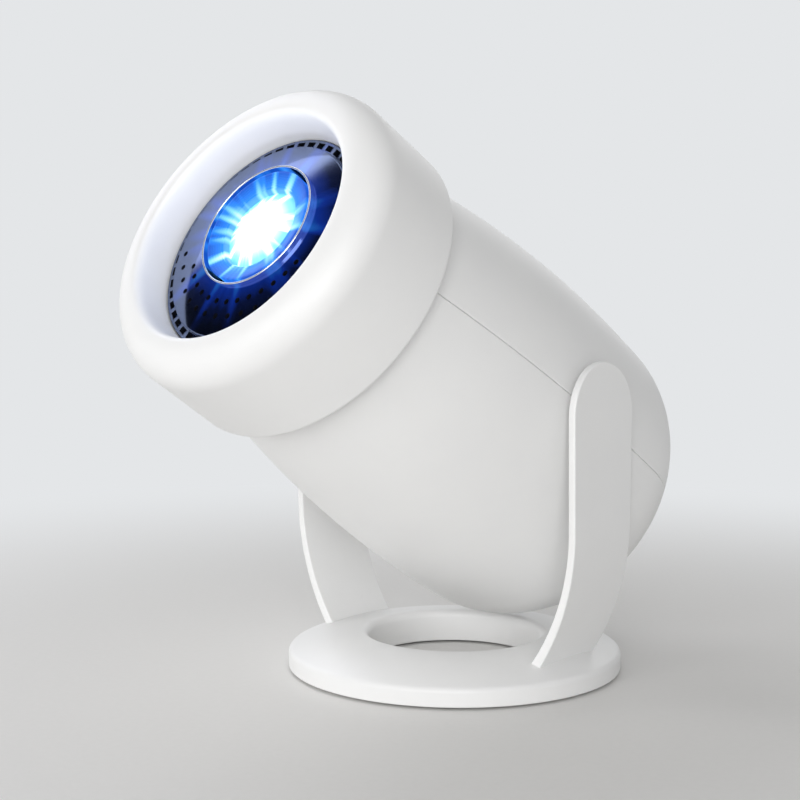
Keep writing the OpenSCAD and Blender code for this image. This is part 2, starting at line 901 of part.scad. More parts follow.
module front_hood() {
    outer = concat([[hood_in_r, hood_z0]],
        arc([hood_r - hood_edge_round, hood_z0 + hood_edge_round], hood_edge_round, -90, 0, 6),
        arc(lip_c, lip_r, 0, 90, 16),
        arc([lip_c[0], hood_front_z - lip_in_r], lip_in_r, 90, 180, 10),
        [[face_r, face_z - face_t], [face_r - face_seat_w, face_z - face_t],
            [face_r - face_seat_w, face_z - face_t - face_seat_t],
            [face_r + bowl_wall, face_z - face_t - face_seat_t]]);
    inner = concat([[face_r + bowl_wall, lip_c[1] + sqrt(pow(lip_r - hood_wall, 2)
            - pow(max(0, face_r + bowl_wall - lip_c[0]), 2))]],
        arc(lip_c, lip_r - hood_wall, 90, 0, 12),
        [[hood_r - hood_wall, hood_z0 + hood_wall], [hood_in_r, hood_z0 + hood_wall]]);
    color("white")
        in_head()
            difference() {
                union() {
                    rotate_extrude($fn = 120)
                        polygon(concat(outer, inner));
                    for (a = tab_a)
                        rotate([0, 0, a])
                            block([hood_r - hood_wall / 2 - tab_len, -tab_w / 2, frame_z1],
                                [hood_r - hood_wall / 2, tab_w / 2, frame_z1 + tab_t]);
                }
                for (a = tab_a)
                    rotate([0, 0, a])
                        translate([tab_pcd, 0, 0])
                            rod(screw_r + screw_gap, frame_z1 - 1, frame_z1 + tab_t + 1);
            }
}

module front_frame() {
    color("dimgray")
        in_head()
            difference() {
                rod(collar_r - face_gap, collar_z, frame_z1);
                translate([0, lens_up, 0])
                    rod(tube_r + frame_hole_gap, 0, far);
                translate([0, speaker_y, 0])
                    rod(basket_r + face_gap, 0, far);
                for (w = frame_air)
                    translate([w[0], w[1], 0])
                        rod(w[2], 0, far);
                for (a = concat(frame_screw_a, tab_a))
                    rotate([0, 0, a])
                        translate([tab_pcd, 0, 0])
                            rod(screw_r + screw_gap, 0, far);
            }
}

module face_plate() {
    crown = face_z + face_dome - dome_arc_r;
    edge_a = acos(dome_r / dome_arc_r);
    color([0.03, 0.04, 0.08])
        in_head()
            difference() {
                rotate_extrude($fn = 120)
                    polygon(concat([[0, face_z - face_t], [face_r - face_gap, face_z - face_t],
                        [face_r - face_gap, face_z]], arc([0, crown], dome_arc_r, edge_a, 90, 12)));
                translate([0, 0, face_z - face_t])
                    rotate_extrude($fn = 120)
                        polygon(concat([[0, -1], [dome_r - face_t, -1], [dome_r - face_t, 0]],
                            arc([0, crown - face_z], dome_arc_r, edge_a, 90, 8)));
                translate([0, lens_up, 0])
                    rod(face_hole_r, 0, far);
                for (i = [0:vent_n - 1])
                    rotate([0, 0, 360 * i / vent_n])
                        block([dome_r + vent_in, -vent_len / 2, 0], [face_r - vent_out, vent_len / 2, far]);
                translate([0, lens_up, 0]) {
                    for (a = [hole_in_a[0]:hole_step:hole_in_a[1]])
                        rotate([0, 0, a])
                            translate([hole_in_r, 0, 0])
                                rod(hole_r, 0, far);
                    for (a = [hole_out_a[0]:hole_step:hole_out_a[1]])
                        rotate([0, 0, a])
                            translate([hole_out_r, 0, 0])
                                rod(hole_r, 0, far);
                }
            }
}

module lens_trim_ring() {
    r1 = face_hole_r - seat_gap;
    r0 = r1 - trim_w;
    bevel = trim_w / 3;
    color("silver")
        in_head()
            translate([0, lens_up, 0])
                rotate_extrude()
                    polygon([[r0, face_z - face_t], [r1, face_z - face_t], [r1, trim_z - bevel],
                        [r1 - bevel, trim_z], [r0 + bevel, trim_z], [r0, trim_z - bevel]]);
}

// Lens and focus drive

module lens_holder() {
    color("dimgray")
        in_head()
            difference() {
                union() {
                    block([-box_out_w / 2, lens_up - box_out_h / 2, box_z1],
                        [box_out_w / 2, lens_up + box_out_h / 2, flange_z1]);
                    block([-ear_w / 2, lens_up, box_z1], [ear_w / 2, axle_y + ear_h, flange_z1]);
                    translate([0, lens_up, 0])
                        rod(tube_r, box_z1, tube_z1);
                }
                translate([0, lens_up, 0]) {
                    rod(tube_in_r, 0, far);
                    tube(tube_r + 1, tube_r - clip_depth, clip_z0, clip_z0 + clip_t);
                    block([-tube_r - 1, -pin_r - pin_play, pin_z - lens_travel - pin_r - pin_play],
                        [-tube_in_r + 1, pin_r + pin_play, pin_z + lens_travel + pin_r + pin_play]);
                }
                translate([0, axle_y, 0])
                    rod(axle_r + seat_gap, 0, far);
                flange_places()
                    rod(screw_r + screw_gap, 0, far);
            }
}

// The four places of the screws that hold the lens holder
module flange_places() {
    for (x = [-flange_screw_x, flange_screw_x])
        for (y = [-flange_screw_y, flange_screw_y])
            translate([x, lens_up + y, 0])
                children();
}

module sleeve_clip() {
    color("silver")
        in_head()
            translate([0, lens_up, 0])
                difference() {
                    tube(tube_r - clip_depth + clip_w, tube_r - clip_depth + seat_gap,
                        clip_z0 + seat_gap, clip_z0 + clip_t - seat_gap);
                    block([-clip_gap_w / 2, -far, 0], [clip_gap_w / 2, 0, far]);
                }
}

module focus_bracket() {
    color("dimgray")
        in_head()
            difference() {
                union() {
                    translate([0, lens_up, 0])
                        rod(tube_r + bracket_wall, bracket_z0, bracket_z0 + bracket_t);
                    block([-ear_w / 2, lens_up, bracket_z0],
                        [ear_w / 2, axle_y + ear_h, bracket_z0 + bracket_t]);
                }
                translate([0, lens_up, 0])
                    rod(tube_r + seat_gap, 0, far);
                translate([0, axle_y, 0])
                    rod(axle_r + seat_gap, 0, far);
            }
}

module focus_axle() {
    color("silver")
        in_head()
            translate([0, axle_y, 0])
                rod(axle_r, box_z1, bracket_z0 + bracket_t);
}

module focus_wheel() {
    rim = [for (i = [0:2 * wheel_n - 1])
        let(r = wheel_r - wheel_notch * (i % 2), a = 180 * i / wheel_n) r * [cos(a), sin(a)]];
    teeth = [for (i = [0:pinion_n - 1])
        each tooth(pitch_r1, pinion_n, -90 + 360 * (i + 0.5) / pinion_n, tooth_slack)];
    color("dimgray")
        in_head()
            translate([0, axle_y, 0])
                difference() {
                    union() {
                        translate([0, 0, gear_z0])
                            linear_extrude(gear_w)
                                polygon(teeth);
                        translate([0, 0, wheel_z0])
                            linear_extrude(wheel_w)
                                polygon(rim);
                        rod(pitch_r1 - 2 * gear_m, flange_z1 + end_gap, bracket_z0 - end_gap);
                    }
                    rod(axle_r + axle_play, 0, far);
                }
}

module focus_sleeve() {
    step = 360 / sleeve_n;
    teeth = [for (i = [-sleeve_span:sleeve_span]) each tooth(pitch_r2, sleeve_n, 90 + i * step, tooth_slack)];
    color("gray")
        in_head()
            translate([0, lens_up, 0])
                difference() {
                    union() {
                        rod(sleeve_r, sleeve_z0, sleeve_z1);
                        translate([0, 0, gear_z0])
                            linear_extrude(gear_w)
                                polygon(concat(teeth, [[0, 0]]));
                    }
                    rod(sleeve_in_r, 0, far);
                    for (i = [-slot_steps - 1:slot_steps + 1])
                        let(a = i * sleeve_turn / slot_steps)
                            rotate([0, 0, 180 + a])
                                translate([tube_in_r, 0, pin_z + lead * a])
                                    rotate([0, 90, 0])
                                        rod(pin_r + pin_play, 0, 2 * (tube_wall + sleeve_wall));
                }
}

module lens_barrel() {
    step_r = glass_r - glass_rim;
    rim_r = barrel_head_r - barrel_rim;
    ridge = (rim_r - bore_r) / ridge_n;
    rise = (barrel_front_z - front_glass_z - front_glass_t - retainer_t - ridge_low) / ridge_n;
    top = barrel_front_z;
    color([0.05, 0.06, 0.1])
        in_head()
            translate([0, lens_up, 0])
                union() {
                    rotate_extrude()
                        polygon(concat([[step_r, barrel_z0], [barrel_r, barrel_z0], [barrel_r, barrel_head_z],
                            [barrel_head_r, barrel_head_z], [barrel_head_r, top]],
                            [for (i = [0:ridge_n - 1]) each [[rim_r - ridge * i, top - rise * i],
                                [rim_r - ridge * i, top - rise * (i + ridge_share)]]],
                            [[bore_r, top - rise * (ridge_n - ridge_share / 2)], [bore_r, lens_step_z],
                                [step_r, lens_step_z]]));
                    translate([-barrel_r + pin_root, 0, pin_z])
                        rotate([0, -90, 0])
                            rod(pin_r, 0, pin_reach - barrel_r + pin_root);
                }
}

// A round glass with a flat rim and domed faces
module glass(r, t, dome_front, dome_back) {
    cap = r - glass_rim;
    r1 = (pow(cap, 2) + pow(dome_front, 2)) / (2 * dome_front);
    r0 = (pow(cap, 2) + pow(dome_back, 2)) / (2 * dome_back);
    rotate_extrude()
        polygon(concat(arc([0, r0 - dome_back], r0, -90, -acos(cap / r0), 8), [[r, 0], [r, t]],
            arc([0, t + dome_front - r1], r1, acos(cap / r1), 90, 8)));
}

module front_lens() {
    color([0.7, 0.85, 1])
        in_head()
            translate([0, lens_up, front_glass_z])
                glass(glass_r, front_glass_t, front_bulge, front_hollow);
}

module rear_lens() {
    color([0.7, 0.85, 1])
        in_head()
            translate([0, lens_up, lens_step_z])
                glass(glass_r, rear_glass_t, rear_bulge, rear_hollow);
}

module lens_spacer() {
    color("dimgray")
        in_head()
            translate([0, lens_up, 0])
                tube(glass_r, glass_r - glass_rim, lens_step_z + rear_glass_t, front_glass_z);
}

module lens_retainer() {
    color("black")
        in_head()
            translate([0, lens_up, 0])
                tube(glass_r, glass_r - glass_rim + 0.1, front_glass_z + front_glass_t,
                    front_glass_z + front_glass_t + retainer_t);
}

// Light engine

module light_box() {
    y0 = lens_up - box_out_h / 2;
    y1 = lens_up + box_out_h / 2 - lid_t;
    color("dimgray")
        in_head()
            difference() {
                union() {
                    difference() {
                        block([-box_out_w / 2, y0, box_z0], [box_out_w / 2, y1, box_z1]);
                        block([-box_w / 2, y0 + box_wall, box_z0 + box_wall], [box_w / 2, far, far]);
                    }
                    translate([0, lens_up, 0])
                        rod(cond_r + cond_seat + seat_gap, box_z0 + eps, box_z0 + box_wall + cond_t * 2);
                    intersection() {
                        flange_places()
                            rod(flange_post_r, box_z1 - flange_post_len, box_z1);
                        block([-box_w, y0, 0], [box_w, y1, far]);
                    }
                    both_sides()
                        for (z = ear_z)
                            block([box_out_w / 2 - eps, ear_y, z - ear_len / 2],
                                [box_out_w / 2 + ear_x, ear_y + ear_t, z + ear_len / 2]);
                    for (x = [-spacer_x, spacer_x])
                        for (y = [-spacer_y, spacer_y])
                            translate([x, lens_up + y, 0])
                                rod(spacer_r, led_z0, box_z0 + box_wall / 2);
                }
                translate([0, lens_up, 0]) {
                    rod(cond_r + seat_gap, box_z0 + box_wall + cond_t, 0);
                    rod(cond_r - cond_seat, box_z0 + box_wall, 0);
                    rod(chip_r + chip_gap, box_z0 - 1, 0);
                }
                box_groove(field_z, field_t);
                box_groove(panel_z, lcd_t);
                box_groove(rear_field_z, field_t);
                flange_places()
                    rod(screw_r + screw_gap, box_z1 - flange_post_len + 1, far);
                both_sides()
                    for (z = ear_z)
                        post(ear_screw_x, z, screw_r + screw_gap, ear_y - 1, ear_y + ear_t + 1);
                for (x = [-spacer_x, spacer_x])
                    for (y = [-spacer_y, spacer_y])
                        translate([x, lens_up + y, 0])
                            rod(screw_r + screw_gap, -far, box_z0 + box_wall + 1);
            }
}

// The groove of one plate in the walls of the light box
module box_groove(z, t) {
    block([-box_w / 2 - groove, lens_up - box_h / 2 - groove, z - t / 2 - groove_gap],
        [box_w / 2 + groove, far, z + t / 2 + groove_gap]);
}

// One plate that stands in a groove of the light box
module box_plate(z, t) {
    block([-box_w / 2 - groove + groove_gap, lens_up - box_h / 2 - groove, z - t / 2],
        [box_w / 2 + groove - groove_gap, lens_up + box_out_h / 2 - lid_t - groove_gap, z + t / 2]);
}

module light_box_lid() {
    color("gray")
        in_head()
            block([-box_out_w / 2, lens_up + box_out_h / 2 - lid_t, box_z0],
                [box_out_w / 2, lens_up + box_out_h / 2, box_z1]);
}

module front_field_lens() {
    color([0.8, 0.9, 1])
        in_head()
            box_plate(field_z, field_t);
}

module picture_panel() {
    color([0.1, 0.1, 0.14])
        in_head()
            box_plate(panel_z, lcd_t);
}

module rear_field_lens() {
    color([0.8, 0.9, 1])
        in_head()
            box_plate(rear_field_z, field_t);
}

module condenser_lens() {
    r = (pow(cond_r, 2) + pow(cond_dome, 2)) / (2 * cond_dome);
    color([0.8, 0.9, 1])
        in_head()
            translate([0, lens_up, box_z0 + box_wall + cond_t])
                rotate_extrude()
                    polygon(concat([[0, 0], [cond_r, 0], [cond_r, 1]],
                        arc([0, 1 + cond_dome - r], r, acos(cond_r / r), 90, 10)));
}

module lamp_chip() {
    color("gold")
        in_head()
            translate([0, lens_up, 0])
                rod(chip_r, box_z0, box_z0 + chip_t);
}

module lamp_board() {
    color("white")
        in_head()
            block([-led_w / 2, lens_up - led_h / 2, led_z0], [led_w / 2, lens_up + led_h / 2, box_z0]);
}

module heat_sink() {
    color("silver")
        in_head()
            difference() {
                union() {
                    block([-sink_w / 2, lens_up - sink_h / 2, sink_z0],
                        [sink_w / 2, lens_up + sink_h / 2, led_z0]);
                    for (i = [0:fin_n - 1])
                        translate([(i - (fin_n - 1) / 2) * fin_pitch, 0, 0])
                            block([-fin_t / 2, lens_up - fin_h / 2, sink_z0 - fin_len],
                                [fin_t / 2, lens_up + fin_h / 2, sink_z0 + 1]);
                }
                for (x = [-spacer_x, spacer_x])
                    for (y = [-spacer_y, spacer_y])
                        translate([x, lens_up + y, 0])
                            rod(screw_r + screw_gap, -far, 0);
            }
}

// Fan

module fan_frame() {
    color("dimgray")
        in_head()
            translate([0, fan_up, 0])
                difference() {
                    union() {
                        difference() {
                            block([-fan_w / 2, -fan_w / 2, fan_z0], [fan_w / 2, fan_w / 2, fan_z1]);
                            rod(fan_bore_r, -far, far);
                        }
                        rod(hub_r - 1, fan_z1 - hub_plate_t, fan_z1);
                        for (a = [0:90:270])
                            rotate([0, 0, a + 20])
                                block([2 * fan_shaft_r, -spoke_w / 2, fan_z1 - hub_plate_t],
                                    [fan_bore_r + spoke_w / 2, spoke_w / 2, fan_z1]);
                        rod(fan_shaft_r, fan_z0 + 2, fan_z1 - 1);
                    }
                    fan_places()
                        rod(screw_r + screw_gap, -far, far);
                }
}

// The four places of the screws that hold the fan, about the fan axis
module fan_places() {
    for (x = [-fan_pitch, fan_pitch])
        for (y = [-fan_pitch, fan_pitch])
            translate([x, y, 0])
                children();
}

module fan_rotor() {
    z0 = fan_z0 + blade_gap;
    z1 = fan_z1 - hub_plate_t - blade_gap;
    reach = fan_bore_r - blade_gap;
    color("black")
        in_head()
            translate([0, fan_up, 0])
                difference() {
                    union() {
                        rod(hub_r, z0, z1);
                        intersection() {
                            for (i = [0:blade_n - 1])
                                rotate([0, 0, 360 * i / blade_n])
                                    translate([0, 0, (z0 + z1) / 2])
                                        rotate([blade_a, 0, 0])
                                            block([hub_r - blade_t, -fan_w / 4, -blade_t / 2],
                                                [fan_w, fan_w / 4, blade_t / 2]);
                            rod(reach, z0, z1);
                        }
                    }
                    rod(fan_shaft_r + fan_shaft_play, -far, far);
                }
}

// Speaker

module speaker_basket() {
    floor_z = collar_z - basket_h + frame_t;
    color("dimgray")
        in_head()
            translate([0, speaker_y, 0])
                difference() {
                    union() {
                        rod(speaker_r, frame_z1, frame_z1 + basket_rim_t);
                        rod(basket_r, floor_z, frame_z1 + eps);
                        rod(magnet_r, floor_z - magnet_h, floor_z + 1);
                    }
                    rod(basket_r - basket_wall, floor_z + basket_floor_t, far);
                }
}

module speaker_cone() {
    z = frame_z1 + basket_rim_t;
    edge = basket_r - basket_floor_t;
    rim = speaker_r - cone_t;
    color("black")
        in_head()
            translate([0, speaker_y, 0])
                rotate_extrude()
                    polygon([[0, z - cone_h + cone_t], [cap_r, z - cone_h], [edge, z], [rim, z],
                        [rim, z + cone_t],
                        [edge - cone_t, z + cone_t], [cap_r, z - cone_h + 1.5 * cone_t],
                        [0, z - cone_h + 2.5 * cone_t]]);
}

// Boards

module main_board() {
    color("darkgreen")
        in_head()
            difference() {
                block([-main_w / 2, main_y, main_z0], [main_w / 2, main_y + board_t, main_z0 + main_len]);
                post_holes(main_posts, main_y - 1, main_y + board_t + 1);
            }
}

// A block standing on a board, given its width, length and height
module chip(w, len, h) {
    block([-w / 2, 0, -len / 2], [w / 2, h, len / 2]);
}

module main_board_parts() {
    y = main_y + board_t;
    color("black")
        in_head()
            for (c = main_chips)
                translate([c[0] * main_w, y, main_z0 + c[1] * main_len])
                    chip(c[2] * main_w, c[3] * main_len, c[4]);
}

module power_board() {
    color("darkgreen")
        in_head()
            difference() {
                block([-power_w / 2, power_y, power_z0],
                    [power_w / 2, power_y + board_t, power_z0 + power_len]);
                post_holes(power_posts, power_y - 1, power_y + board_t + 1);
            }
}

module power_board_parts() {
    y = power_y + board_t;
    color("goldenrod")
        in_head() {
            for (c = power_blocks)
                translate([c[0] * power_w, y, power_z0 + c[1] * power_len])
                    chip(c[2] * power_w, c[3] * power_len, c[4]);
            for (c = power_cans)
                post(c[0] * power_w, power_z0 + c[1] * power_len, c[2] * power_w, y, y + c[3]);
        }
}

module port_board() {
    color("darkgreen")
        in_head()
            difference() {
                block([-port_board_w / 2, port_y - board_t, port_z0], [port_board_w / 2, port_y, port_z1]);
                post_holes(port_posts, port_y - board_t - 1, port_y + 1);
            }
}

// Sockets

// A rectangular metal socket on the port board, with a contact tongue
module socket(x, w, h, len) {
    difference() {
        block([x - w / 2, port_y, panel_out_z], [x + w / 2, port_y + h, panel_out_z + len]);
        block([x - w / 2 + port_wall, port_y + port_wall, panel_out_z - 1],
            [x + w / 2 - port_wall, port_y + h - port_wall, panel_out_z + len - 2]);
    }
    block([x - w / 2 + tongue_in, port_y + h - port_wall - tongue_gap - tongue_t, panel_out_z + tongue_in],
        [x + w / 2 - tongue_in, port_y + h - port_wall - tongue_gap, panel_out_z + len - 1]);
}

module picture_socket() {
    color("silver")
        in_head()
            socket(picture_x, picture_w, picture_h, picture_len);
}

module data_socket() {
    color("silver")
        in_head()
            socket(data_x, data_w, data_h, data_len);
}

module sound_socket() {
    y = port_y + jack_h / 2;
    color("black")
        in_head()
            difference() {
                union() {
                    block([jack_x - jack_w / 2, port_y, panel_in_z + back_gap],
                        [jack_x + jack_w / 2, port_y + jack_h, panel_in_z + jack_len]);
                    translate([jack_x, y, 0])
                        rod(jack_nose_r, panel_out_z, panel_in_z + 1);
                }
                translate([jack_x, y, 0])
                    rod(jack_r, panel_out_z - 1, panel_out_z + jack_depth);
            }
}

module power_inlet() {
    color("black")
        in_head()
            translate([0, inlet_y, 0])
                difference() {
                    block([-inlet_w / 2, -inlet_h / 2, panel_out_z],
                        [inlet_w / 2, inlet_h / 2, panel_out_z + inlet_len]);
                    both_sides()
                        translate([inlet_pitch / 2, 0, 0])
                            rod(inlet_lobe_r, panel_out_z - 1, panel_out_z + inlet_depth);
                    block([-inlet_pitch / 2, -inlet_flat_y, panel_out_z - 1],
                        [inlet_pitch / 2, inlet_lobe_r, panel_out_z + inlet_depth]);
                }
}

module inlet_pins() {
    z1 = panel_out_z + inlet_depth;
    color("silver")
        in_head()
            translate([0, inlet_y, 0])
                both_sides()
                    translate([inlet_pitch / 2, 0, 0])
                        rod(inlet_pin_r, z1 - pin_len, z1);
}

module power_button() {
    z1 = panel_in_z + back_gap;
    color("gray")
        in_head()
            translate([button_x, button_y, 0])
                union() {
                    rod(button_r, panel_out_z - button_out, z1 + eps);
                    rod(button_r + button_flange, z1, z1 + button_flange_t);
                    rod(button_stem_r, z1 + button_flange_t - eps, z1 + button_flange_t + button_stem);
                }
}

module button_switch() {
    z0 = panel_in_z + back_gap + button_flange_t + button_travel + switch_gap;
    y1 = port_y - board_t;
    color("black")
        in_head()
            difference() {
                block([button_x - switch_w / 2, y1 - switch_h, z0],
                    [button_x + switch_w / 2, y1, z0 + switch_t]);
                translate([button_x, button_y, 0])
                    rod(button_stem_r + button_gap, z0 - 1, z0 + switch_bore);
            }
}

module status_light() {
    z1 = panel_in_z + back_gap;
    color([0.6, 0.8, 1])
        in_head()
            translate([light_x, button_y, 0])
                union() {
                    rod(light_r, panel_out_z - light_out, panel_out_z + light_len);
                    rod(light_r + light_flange, z1, z1 + light_flange);
                }
}

module rear_panel() {
    color("dimgray")
        in_head()
            difference() {
                union() {
                    rod(panel_r, panel_out_z, panel_in_z);
                    translate([0, fan_up, 0])
                        fan_places()
                            rod(fan_post_r, panel_in_z - eps, fan_z0);
                }
                for (i = [-slot_n:slot_n])
                    let(h = slot_half(i), y = fan_up + i * slot_pitch)
                        block([-h, y - slot_h / 2, -far], [h, y + slot_h / 2, panel_in_z + 1]);
                block([picture_x - picture_w / 2 - port_gap, port_y - port_gap, -far],
                    [picture_x + picture_w / 2 + port_gap, port_y + picture_h + port_gap, 0]);
                block([data_x - data_w / 2 - port_gap, port_y - port_gap, -far],
                    [data_x + data_w / 2 + port_gap, port_y + data_h + port_gap, 0]);
                translate([jack_x, port_y + jack_h / 2, 0])
                    rod(jack_nose_r + port_gap, -far, 0);
                translate([0, inlet_y, 0])
                    block([-inlet_w / 2 - port_gap, -inlet_h / 2 - port_gap, -far],
                        [inlet_w / 2 + port_gap, inlet_h / 2 + port_gap, 0]);
                translate([button_x, button_y, 0])
                    rod(button_r + button_gap, -far, 0);
                translate([light_x, button_y, 0])
                    rod(light_r + port_gap / 2, -far, 0);
                for (p = rear_screws)
                    translate([p[0], p[1], 0])
                        rod(screw_r + screw_gap, -far, 0);
                translate([0, fan_up, 0])
                    fan_places()
                        rod(screw_r + screw_gap, panel_out_z + 1, 0);
            }
}

// Screw sets

module front_screws() {
    color("silver")
        in_head() {
            for (a = frame_screw_a)
                rotate([0, 0, a])
                    translate([frame_screw_pcd, 0, frame_z1])
                        screw(frame_t + frame_grip);
            for (a = tab_a)
                rotate([0, 0, a])
                    translate([tab_pcd, 0, frame_z1 + tab_t])
                        screw(tab_t + frame_t);
        }
}

module inner_screws() {
    color("silver")
        in_head() {
            for (p = main_posts)
                translate([p[0], main_y + board_t, p[1]])
                    rotate([-90, 0, 0])
                        screw(board_t + post_grip);
            for (p = port_posts)
                translate([p[0], port_y, p[1]])
                    rotate([-90, 0, 0])
                        screw(board_t + post_grip);
            for (p = power_posts)
                translate([p[0], power_y, p[1]])
                    rotate([90, 0, 0])
                        screw(board_t + post_grip);
            both_sides()
                for (z = ear_z)
                    translate([ear_screw_x, ear_y + ear_t, z])
                        rotate([-90, 0, 0])
                            screw(ear_t + post_grip);
            flange_places()
                translate([0, 0, flange_z1])
                    screw(flange_t + flange_post_len - screw_short);
            for (x = [-spacer_x, spacer_x])
                for (y = [-spacer_y, spacer_y])
                    translate([x, lens_up + y, sink_z0])
                        rotate([180, 0, 0])
                            screw(sink_t + board_t + box_wall);
        }
}

module rear_screws_set() {
    color("silver")
        in_head() {
            for (p = rear_screws)
                translate([p[0], p[1], panel_out_z])
                    rotate([180, 0, 0])
                        screw(panel_t + rear_boss_len - screw_short);
            translate([0, fan_up, fan_z1])
                fan_places()
                    screw(fan_t + fan_post_h);
        }
}

stand_base();
base_plate();
foot_ring();
left_arm();
right_arm();
base_screws();
arm_screws();
pivot_washers();
pivot_screws();
upper_shell();
lower_shell();
pivot_bushes();
front_hood();
front_frame();
face_plate();
lens_trim_ring();
lens_holder();
sleeve_clip();
focus_bracket();
focus_axle();
focus_wheel();
focus_sleeve();
lens_barrel();
front_lens();
rear_lens();
lens_spacer();
lens_retainer();
light_box();
light_box_lid();
front_field_lens();
picture_panel();
rear_field_lens();
condenser_lens();
lamp_chip();
lamp_board();
heat_sink();
fan_frame();
fan_rotor();
speaker_basket();
speaker_cone();
main_board();
main_board_parts();
power_board();
power_board_parts();
port_board();
picture_socket();
data_socket();
sound_socket();
power_inlet();
inlet_pins();
power_button();
button_switch();
status_light();
rear_panel();
front_screws();
inner_screws();
rear_screws_set();
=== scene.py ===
"""Compact video projector on a tilting stand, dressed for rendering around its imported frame.

Pieces of the head are drawn in the head frame: X to the side, Y up, Z forward along the light path,
with the origin on the tilt axis. Sizes are in millimetres in the fields and in metres in the meshes.
"""
import json
import logging
import math
from dataclasses import dataclass
from enum import Enum

import bmesh
import bpy
from mathutils import Matrix, Vector

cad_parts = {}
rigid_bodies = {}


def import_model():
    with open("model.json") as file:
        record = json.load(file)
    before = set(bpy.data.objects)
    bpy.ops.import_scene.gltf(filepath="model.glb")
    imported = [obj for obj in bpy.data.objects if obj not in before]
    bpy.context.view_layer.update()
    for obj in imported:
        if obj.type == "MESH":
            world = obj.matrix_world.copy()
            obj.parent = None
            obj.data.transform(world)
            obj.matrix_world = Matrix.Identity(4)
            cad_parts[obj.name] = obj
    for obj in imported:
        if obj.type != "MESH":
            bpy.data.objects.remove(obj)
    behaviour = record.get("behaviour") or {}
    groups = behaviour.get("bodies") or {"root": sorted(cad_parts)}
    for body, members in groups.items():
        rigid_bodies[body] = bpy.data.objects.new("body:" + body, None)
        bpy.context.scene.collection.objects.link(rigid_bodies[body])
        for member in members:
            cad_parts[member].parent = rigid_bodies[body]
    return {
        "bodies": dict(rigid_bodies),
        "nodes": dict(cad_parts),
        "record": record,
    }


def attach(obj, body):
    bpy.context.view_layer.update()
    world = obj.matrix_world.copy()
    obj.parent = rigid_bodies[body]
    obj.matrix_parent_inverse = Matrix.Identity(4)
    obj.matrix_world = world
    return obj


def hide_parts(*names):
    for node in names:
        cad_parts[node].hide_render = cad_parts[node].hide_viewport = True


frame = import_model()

LOG = logging.getLogger("projector")
MM = 0.001
PIVOT_H = 86.0
REST_PITCH = 30.0
LENS_UP = 3.5
MAP_R = 40.0
LAMP_AWAY = 1.2
CARD_AWAY = 1.1
AIM_UP = 0.1

# How meshes are made: distances in metres at which points merge and faces count as collapsed, steps of a
# rounded edge and the flat beside it, the most of a side that one rounding takes, and how far a tool
# reaches past what it cuts.
MERGE_DIST = 1e-7
FLAT_DIST = 1e-8
EDGE_STEPS = 5
EDGE_FLAT = 0.15
SIDE_SHARE = 0.49
TOOL_PAST = 5.0
TOOL_DEEP = 300.0
# Parts of a normal along a direction: above the first a face looks that way, below the second away from it.
FACING = 0.9
AWAY = -0.1
# How near to the dome of the face a point lies, in metres, and how well its face follows the dome.
DOME_NEAR = 2e-5
DOME_FACING = 0.98

Point = tuple[float, float]
Mark = tuple[Vector, Vector, Vector]
STAND = Matrix.Identity(4)
HEAD = Matrix.Translation((0.0, 0.0, PIVOT_H * MM)) @ Matrix.Rotation(math.radians(90.0 - REST_PITCH), 4, "X")
LENS = HEAD @ Matrix.Translation((0.0, LENS_UP * MM, 0.0))
ALONG_X = Matrix.Rotation(math.radians(90.0), 4, "Y")
UPRIGHT = Matrix(((1.0, 0.0, 0.0, 0.0), (0.0, 0.0, 1.0, 0.0), (0.0, 1.0, 0.0, 0.0), (0.0, 0.0, 0.0, 1.0)))


class Side(Enum):
    """Left or right of the stand, as a sign along X."""

    LEFT = -1
    RIGHT = 1


class Half(Enum):
    """Lower or upper half of the body, as a sign along the head's Y."""

    LOWER = -1
    UPPER = 1


# Shared helpers


def linear(colour: str) -> tuple[float, float, float, float]:
    """Turns an sRGB hex colour into linear light.

    Args:
        colour: Six hex digits after a number sign.

    Returns:
        Linear red, green and blue, and an alpha of one.
    """
    parts = [int(colour[i:i + 2], 16) / 255.0 for i in (1, 3, 5)]
    lit = [c / 12.92 if c <= 0.04045 else ((c + 0.055) / 1.055) ** 2.4 for c in parts]
    return (lit[0], lit[1], lit[2], 1.0)


def put(tree: bpy.types.NodeTree, kind: str, links: dict | None = None, **settings: object) -> bpy.types.Node:
    """Adds a node with its settings and links.

    Args:
        tree: Node tree that gets the node.
        kind: Type name of the node.
        links: Input names or numbers, each with a constant or the output that feeds it.
        settings: Properties of the node, set before its inputs.

    Returns:
        The new node.
    """
    node = tree.nodes.new(kind)
    for key, value in settings.items():
        setattr(node, key, value)
    for key, value in (links or {}).items():
        socket = node.inputs[key]
        if isinstance(value, bpy.types.NodeSocket):
            tree.links.new(value, socket)
        else:
            socket.default_value = value
    return node


def arc(centre: Point, radius: float, start: float, stop: float, steps: int) -> list[Point]:
    """Points along an arc.

    Args:
        centre: Middle of the arc.
        radius: Radius of the arc.
        start: First angle in degrees.
        stop: Last angle in degrees.
        steps: Number of pieces that the arc is cut into.

    Returns:
        The points from start to stop, both included.
    """
    turns = [math.radians(start + (stop - start) * i / steps) for i in range(steps + 1)]
    return [(centre[0] + radius * math.cos(a), centre[1] + radius * math.sin(a)) for a in turns]


